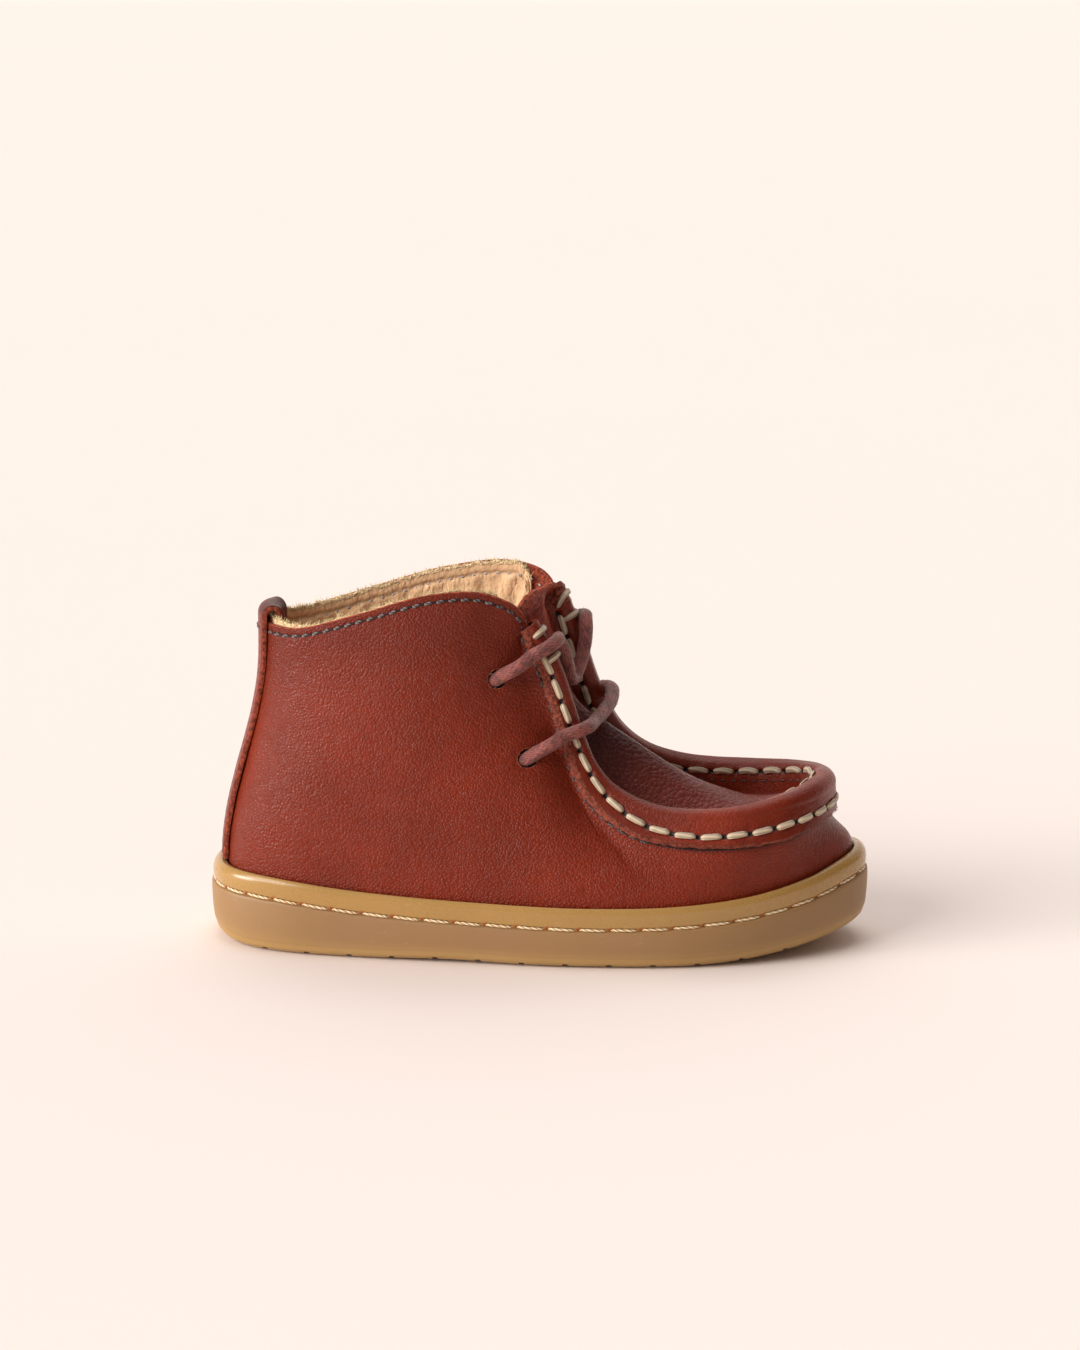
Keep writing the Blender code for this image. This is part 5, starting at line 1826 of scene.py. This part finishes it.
class BOOT_OT_seam_stitches(bpy.types.Operator):
    """Sew the cream stitches on both sides of the binding, and those wrapped over its top ends"""

    bl_idname = "boot.seam_stitches"
    bl_label = "Seam stitches"

    def execute(self, context):
        sizes = context.scene.boot_stitching
        rows = even_rows(OUTER_SEAM_ROW, BINDING_END_ROW, BINDING_STATIONS)
        frames = top_frames(rows)
        width = sizes.seam_width / MM
        stitches = []
        for outer in (True, False):
            line = seam_value("outer" if outer else "inner", rows)
            points, outs = binding_face(frames, line, outer)
            higher, _ = binding_face(frames, line - 0.5, outer)
            first = SEAM_START_OUTER if outer else SEAM_START_INNER
            places = spaced(points, sizes.seam_pitch / MM, sizes.seam_length / MM, first)
            for a, b in places if outer else places[:-1]:
                row = np.interp(a, np.arange(len(rows)), rows)
                if outer and row < SEAM_TOP_ROW:
                    continue
                normal = unit(along_line(outs, 0.5 * (a + b)))
                start, end = along_line(points, a), along_line(points, b)
                middle = along_line(points, 0.5 * (a + b))
                bow = middle - 0.5 * (start + end)
                if not outer and TOE_ROWS[0] < row < TOE_ROWS[1]:
                    bow = bow + 0.5 * unit(along_line(higher, 0.5 * (a + b)) - middle)
                tip = 0.12 * np.cross(normal, unit(end - start)) * (1 if outer else -1)
                size = {"width": width, "height": 0.75, "lift": 0.26, "stations": 17, "sides": 14}
                stitches.append(stitch(start - tip, end + tip, normal, bow=bow, **size))
        for low_row, high_row in SEAM_WRAPS:
            stitches.append(self.wrap(low_row, high_row, width))
        cream = tuple(sizes.cream)
        finish = thread("waxed_thread", cream, times(cream, 0.5), 4, 0.6, relief=0.12, roughness=0.42)
        sewn("seam_stitches", stitches, finish)
        self.fine_line(rows, frames)
        return {"FINISHED"}

    def wrap(self, low_row, high_row, width):
        """A stitch over the fold from one line of stitches to the other."""
        share = np.linspace(0, 1, 15)
        path, normals = [], []
        start = np.array([low_row])
        outer_low, inner_low = (float(seam_value(name, start)[0]) for name in ("outer", "inner"))
        for s in share:
            row = np.array([low_row + (high_row - low_row) * np.sin(np.pi * s)])
            frames = top_frames(row)
            if s < 0.5:
                below = outer_low * (1 - 2 * s)
                spot, normal = binding_face(frames, below, True)
            else:
                below = inner_low * (2 * s - 1)
                spot, normal = binding_face(frames, below, False)
            path.append(spot[0])
            normals.append(normal[0])
        path, normals = np.array(path), np.array(normals)
        lift = np.sin(np.pi * share) ** 0.35
        path = path + (0.3 * lift - 0.7 * (1 - lift))[:, None] * normals
        radii = 0.5 * width * np.clip(np.sin(np.pi * share), 0, 1) ** 0.25
        return tube(path, normals, radii, 12, flat=0.6)

    def fine_line(self, rows, frames):
        """The small dark stitches that hold the binding's inner side down on the apron."""
        keep = (rows > APRON_STITCH_ROWS[0]) & (rows < APRON_STITCH_ROWS[1])
        inner = tuple(part[keep] for part in frames)
        points, outs = binding_face(inner, np.full(keep.sum(), INNER_LEG - 1.1), False)
        size = {"width": 0.5, "height": 0.36, "lift": 0.08, "stations": 7, "sides": 6}
        stitches = sewn_row(points, outs, pitch=2.6, length=1.5, **size)
        finish = thread("fine_thread", srgb(92, 66, 70), srgb(38, 22, 24), plies=2, turns=2, relief=0.06)
        sewn("apron_stitches", stitches, finish)


class BOOT_OT_heel_strip(bpy.types.Operator):
    """Make the strip up the middle of the heel that folds over the collar"""

    bl_idname = "boot.heel_strip"
    bl_label = "Heel strip"

    def execute(self, context):
        sizes = context.scene.boot_leather
        width = np.linspace(-STRIP_SPREAD, STRIP_SPREAD, STRIP_COLUMNS)
        rows = np.mod(width, TOP_ROWS)
        wall = refine(wall_profile(rows)[1:], np.linspace(0, TOP - 1, STRIP_LEVELS))
        out = grid_normals(wall, closed=False)
        faces = []
        for lift in (GAP, GAP + STRIP_WALL):
            face = list(wall[:-1] + lift * out[:-1])
            for k in range(8):
                face[k][:, 2] += STRIP_FOOT * (1 - k / 8)
            top = wall[-1]
            level = unit(out[-1] * np.array([1, 1, 0]))
            radius = 0.5 * WALL + lift
            centre = top - 0.5 * WALL * level + np.array([0, 0, STRIP_RISE])
            for turn in np.radians(np.linspace(0, 180, 20)):
                face.append(centre + radius * (np.cos(turn) * level + np.array([0, 0, np.sin(turn)])))
            for share in np.linspace(0, 1, 7)[1:]:
                face.append(centre - radius * level - np.array([0, 0, share * STRIP_INSIDE]))
            faces.append(np.array(face))
        inner, outer = faces
        across = np.swapaxes(np.stack([outer, inner]), 0, 1)
        push = unit(across[:, 0, -1] - across[:, 0, 0]) * 0.12
        low, high = (
            [(1 - part) * across[:, 0, end] + part * across[:, 1, end] + way * push for part in (0.25, 0.75)]
            for end, way in ((0, -1), (-1, 1))
        )
        columns = range(STRIP_COLUMNS)
        ring = [across[:, 0, k] for k in columns] + high
        ring += [across[:, 1, k] for k in columns[::-1]] + low[::-1] + [across[:, 0, 0]]
        points = np.stack(ring, axis=1)
        points = points + 0.06 * ripple(points, 5.0, 8.0)[:, :, None] * np.array([-0.9, 0, 0.3])
        points[:, -1] = points[:, 0]
        raw = np.zeros(points.shape[1])
        raw[STRIP_COLUMNS : STRIP_COLUMNS + 2] = 1.0
        raw[-3:-1] = 1.0
        raw[STRIP_COLUMNS + 2 : -3] = 0.9
        # Painted shade over the fold on the collar and down inside it.
        shade = 0.72 * ramp(points[:, :, 2], 77.5, 3.0)
        shape = grid_shape(points, {"raw": raw[None, :], "shade": shade, "hole": 0.0}, closed=False)
        close_ends(shape)
        # Painted sheen: the strip's middle and light tones are brighter copies of the quarter's, and its raw
        # edge a brighter copy of the raw tone.
        deep = tuple(0.4 * v * share for v, share in zip(sizes.quarter, (0.8, 0.9, 1.3)))
        finish = leather(
            "strip_leather",
            [deep, times(sizes.quarter, 1.1), times(sizes.quarter, 1.5)],
            times(sizes.raw, 1.6),
            sizes.grain,
            relief=0.03,
            roughness=0.36,
            shine=0.5,
        )
        made = add_piece("heel_strip_leather", shape, finish, ("heel_strip",))
        made.data.set_sharp_from_angle(angle=np.radians(50))
        self.sew(outer, context.scene.boot_stitching)
        return {"FINISHED"}

    def sew(self, outer, sizes):
        """A line of fine dark stitches near each side of the strip, and the collar's stitch across it."""
        stitches = []
        normals = -grid_normals(outer, closed=False)
        if np.mean(normals[:20, :, 0]) > 0:
            normals = -normals
        size = {"width": 0.45, "height": 0.22, "lift": 0.0, "stations": 7, "sides": 6}
        for column in (2, outer.shape[1] - 3):
            line, outs = outer[:STRIP_SEWN, column], normals[:STRIP_SEWN, column]
            stitches += sewn_row(line, outs, pitch=2.5, length=1.7, start=1.0, **size)
        below = running_length(outer[:STRIP_LEVELS][::-1])[:, outer.shape[1] // 2]
        level = STRIP_LEVELS - 1 - int(np.searchsorted(below, sizes.collar_below / MM))
        size = {"width": 0.7, "height": 0.5, "lift": 0.2, "stations": 9, "sides": 7}
        stitches += sewn_row(outer[level], normals[level], pitch=2.9, length=1.9, start=0.2, **size)
        grey = tuple(sizes.grey)
        finish = thread("strip_thread", grey, times(grey, 0.4), plies=2, turns=2, relief=0.08)
        sewn("strip_stitches", stitches, finish)


class BOOT_OT_footbed(bpy.types.Operator):
    """Make the leather footbed that lies in the cup"""

    bl_idname = "boot.footbed"
    bl_label = "Footbed"

    def execute(self, context):
        degrees, _ = even_degrees(FOOTBED_COLUMNS)
        edge = round_outline("inset", degrees) + WALL + 2 * GAP
        rings = []
        middle = np.column_stack([0.85 * outline_point(degrees)[:, 0], np.zeros(len(degrees))])

        def floor(plan):
            return ground_clearance(plan[:, 0]) + CUP_FLOOR + GAP

        plan = inset_outline(degrees, edge)
        for share in np.linspace(0, 1, 5)[:-1]:
            at = middle + share * (plan - middle)
            rings.append(at_height(at, floor(at)))
        for inset, height in FOOTBED_EDGE:
            at = inset_outline(degrees, edge + inset)
            rings.append(at_height(at, floor(at) + height))
        last = rings[-1][:, :2]
        for share in np.linspace(0, 1, 20)[1:]:
            at = last + share * (middle - last)
            rings.append(at_height(at, floor(at) + FOOTBED_EDGE[-1][1] - 0.25 * np.sin(np.pi * share)))
        shape = grid_shape(np.array(rings), {"raw": 0.0, "shade": 0.0})
        tone = context.scene.boot_leather.lining
        finish = lining_leather("footbed_leather", times(tone, 0.95), times(tone, 0.66))
        add_piece("footbed", shape, finish, ("insole",))
        return {"FINISHED"}


class BOOT_OT_stage(bpy.types.Operator):
    """Set the camera, the lights and a pale floor"""

    bl_idname = "boot.stage"
    bl_label = "Camera, light and floor"

    def execute(self, context):
        sizes = context.scene.boot_stage
        scene = context.scene
        scene.view_settings.view_transform = "Standard"
        camera = bpy.data.cameras.new("camera")
        camera.sensor_width = 36
        camera.lens = sizes.lens
        camera.clip_start, camera.clip_end = 0.01, 100
        eye = bpy.data.objects.new("camera", camera)
        eye.location = sizes.eye
        eye.rotation_euler = (sizes.tilt, 0, sizes.turn)
        scene.collection.objects.link(eye)
        scene.camera = eye
        self.floor(sizes)
        self.room(scene, sizes)
        for name, strength, spread, place, tint in (
            ("key_light", sizes.key, 38, (-1.1, -0.85, 0.85), (1.0, 0.965, 0.94)),
            ("side_light", sizes.side, 26, (-1.2, -0.42, 0.22), (1.0, 0.965, 0.95)),
            ("top_light", sizes.top, 40, (0.0, 0.4, 1.6), (1.0, 0.95, 0.93)),
        ):
            lamp = bpy.data.lights.new(name, "SUN")
            lamp.energy = strength
            lamp.angle = np.radians(spread)
            lamp.color = tint
            made = bpy.data.objects.new(name, lamp)
            made.location = place
            made.rotation_euler = (-made.location).to_track_quat("-Z", "Y").to_euler()
            scene.collection.objects.link(made)
        return {"FINISHED"}

    def floor(self, sizes):
        """A wide sheet that curves up behind the boot."""
        half, start, radius = 8000, 5200, 900
        run = np.linspace(-half, half, 90)
        bend = np.clip(run - start, 0, None)
        turn = np.clip(bend / radius, 0, np.pi / 2)
        depth = np.where(bend > 0, start + radius * np.sin(turn), run)
        height = radius * (1 - np.cos(turn)) + np.clip(bend - radius * np.pi / 2, 0, None)
        points = np.array([[(x, y, z) for x in (-half, half)] for y, z in zip(depth, height)], float)
        shape = grid_shape(points, closed=False, weld=False)
        mesh = bpy.data.meshes.new("floor")
        shape.to_mesh(mesh)
        shape.free()
        mesh.shade_smooth()
        finish = Finish("paper_floor")
        soft = finish.noise(finish.at, 0.4, 2)
        tone = finish.mix(soft.between(0.2, 0.8) * 0.5, tuple(sizes.paper), times(sizes.paper, 0.985))
        mesh.materials.append(finish.done(tone, 0.9))
        made = bpy.data.objects.new("floor", mesh)
        bpy.context.scene.collection.objects.link(made)

    def room(self, scene, sizes):
        """A room that is brightest on the left, with a white backdrop behind the boot."""
        world = bpy.data.worlds.new("room")
        world.use_nodes = True
        nodes, links = world.node_tree.nodes, world.node_tree.links
        light = nodes["Background"]
        light.inputs["Color"].default_value = (1.0, 0.955, 0.925, 1)
        way = nodes.new("ShaderNodeTexCoord")
        total = nodes.new("ShaderNodeMath")
        for side, (toward, low, high, darkest, brightest) in enumerate(
            (
                ((-0.88, -0.3, 0.36), -0.7, 0.8, 0.06 * sizes.sky, sizes.sky),
                ((0.1, 0.95, 0.3), 0.35, 0.85, 0.0, sizes.backdrop),
            )
        ):
            facing = nodes.new("ShaderNodeVectorMath")
            facing.operation = "DOT_PRODUCT"
            facing.inputs[1].default_value = toward
            spread = nodes.new("ShaderNodeMapRange")
            for socket, value in ((1, low), (2, high), (3, darkest), (4, brightest)):
                spread.inputs[socket].default_value = value
            links.new(way.outputs["Generated"], facing.inputs[0])
            links.new(facing.outputs["Value"], spread.inputs[0])
            links.new(spread.outputs[0], total.inputs[side])
        links.new(total.outputs[0], light.inputs["Strength"])
        scene.world = world


class BOOT_PT_panel(bpy.types.Panel):
    """The boot's pieces and their sizes"""

    bl_idname = "BOOT_PT_panel"
    bl_label = "Moccasin-toe boot"
    bl_space_type = "VIEW_3D"
    bl_region_type = "UI"
    bl_category = "Boot"

    def draw(self, context):
        for operator in OPERATORS:
            self.layout.operator(operator.bl_idname)
        for name in PROPERTIES:
            group = getattr(context.scene, name)
            self.layout.label(text=name.replace("_", " ").capitalize())
            for key in group.bl_rna.properties.keys():
                if key not in ("rna_type", "name"):
                    self.layout.prop(group, key)


PROPERTIES = {
    "boot_sole": BootSole,
    "boot_leather": BootLeather,
    "boot_stitching": BootStitching,
    "boot_lace": BootLace,
    "boot_stage": BootStage,
}
OPERATORS = (
    BOOT_OT_stage,
    BOOT_OT_laces,
    BOOT_OT_sole,
    BOOT_OT_upper,
    BOOT_OT_collar_stitches,
    BOOT_OT_apron,
    BOOT_OT_binding,
    BOOT_OT_seam_stitches,
    BOOT_OT_heel_strip,
    BOOT_OT_footbed,
)
CLASSES = tuple(PROPERTIES.values()) + OPERATORS + (BOOT_PT_panel,)


def register():
    for each in CLASSES:
        bpy.utils.register_class(each)
    for name, group in PROPERTIES.items():
        setattr(bpy.types.Scene, name, PointerProperty(type=group))


def unregister():
    for name in PROPERTIES:
        delattr(bpy.types.Scene, name)
    for each in reversed(CLASSES):
        bpy.utils.unregister_class(each)


def main():
    register()
    bpy.ops.boot.stage()
    bpy.ops.boot.laces()
    bpy.ops.boot.sole()
    bpy.ops.boot.upper()
    bpy.ops.boot.collar_stitches()
    bpy.ops.boot.apron()
    bpy.ops.boot.binding()
    bpy.ops.boot.seam_stitches()
    bpy.ops.boot.heel_strip()
    bpy.ops.boot.footbed()
    bpy.context.view_layer.update()


if __name__ == "__main__":
    main()
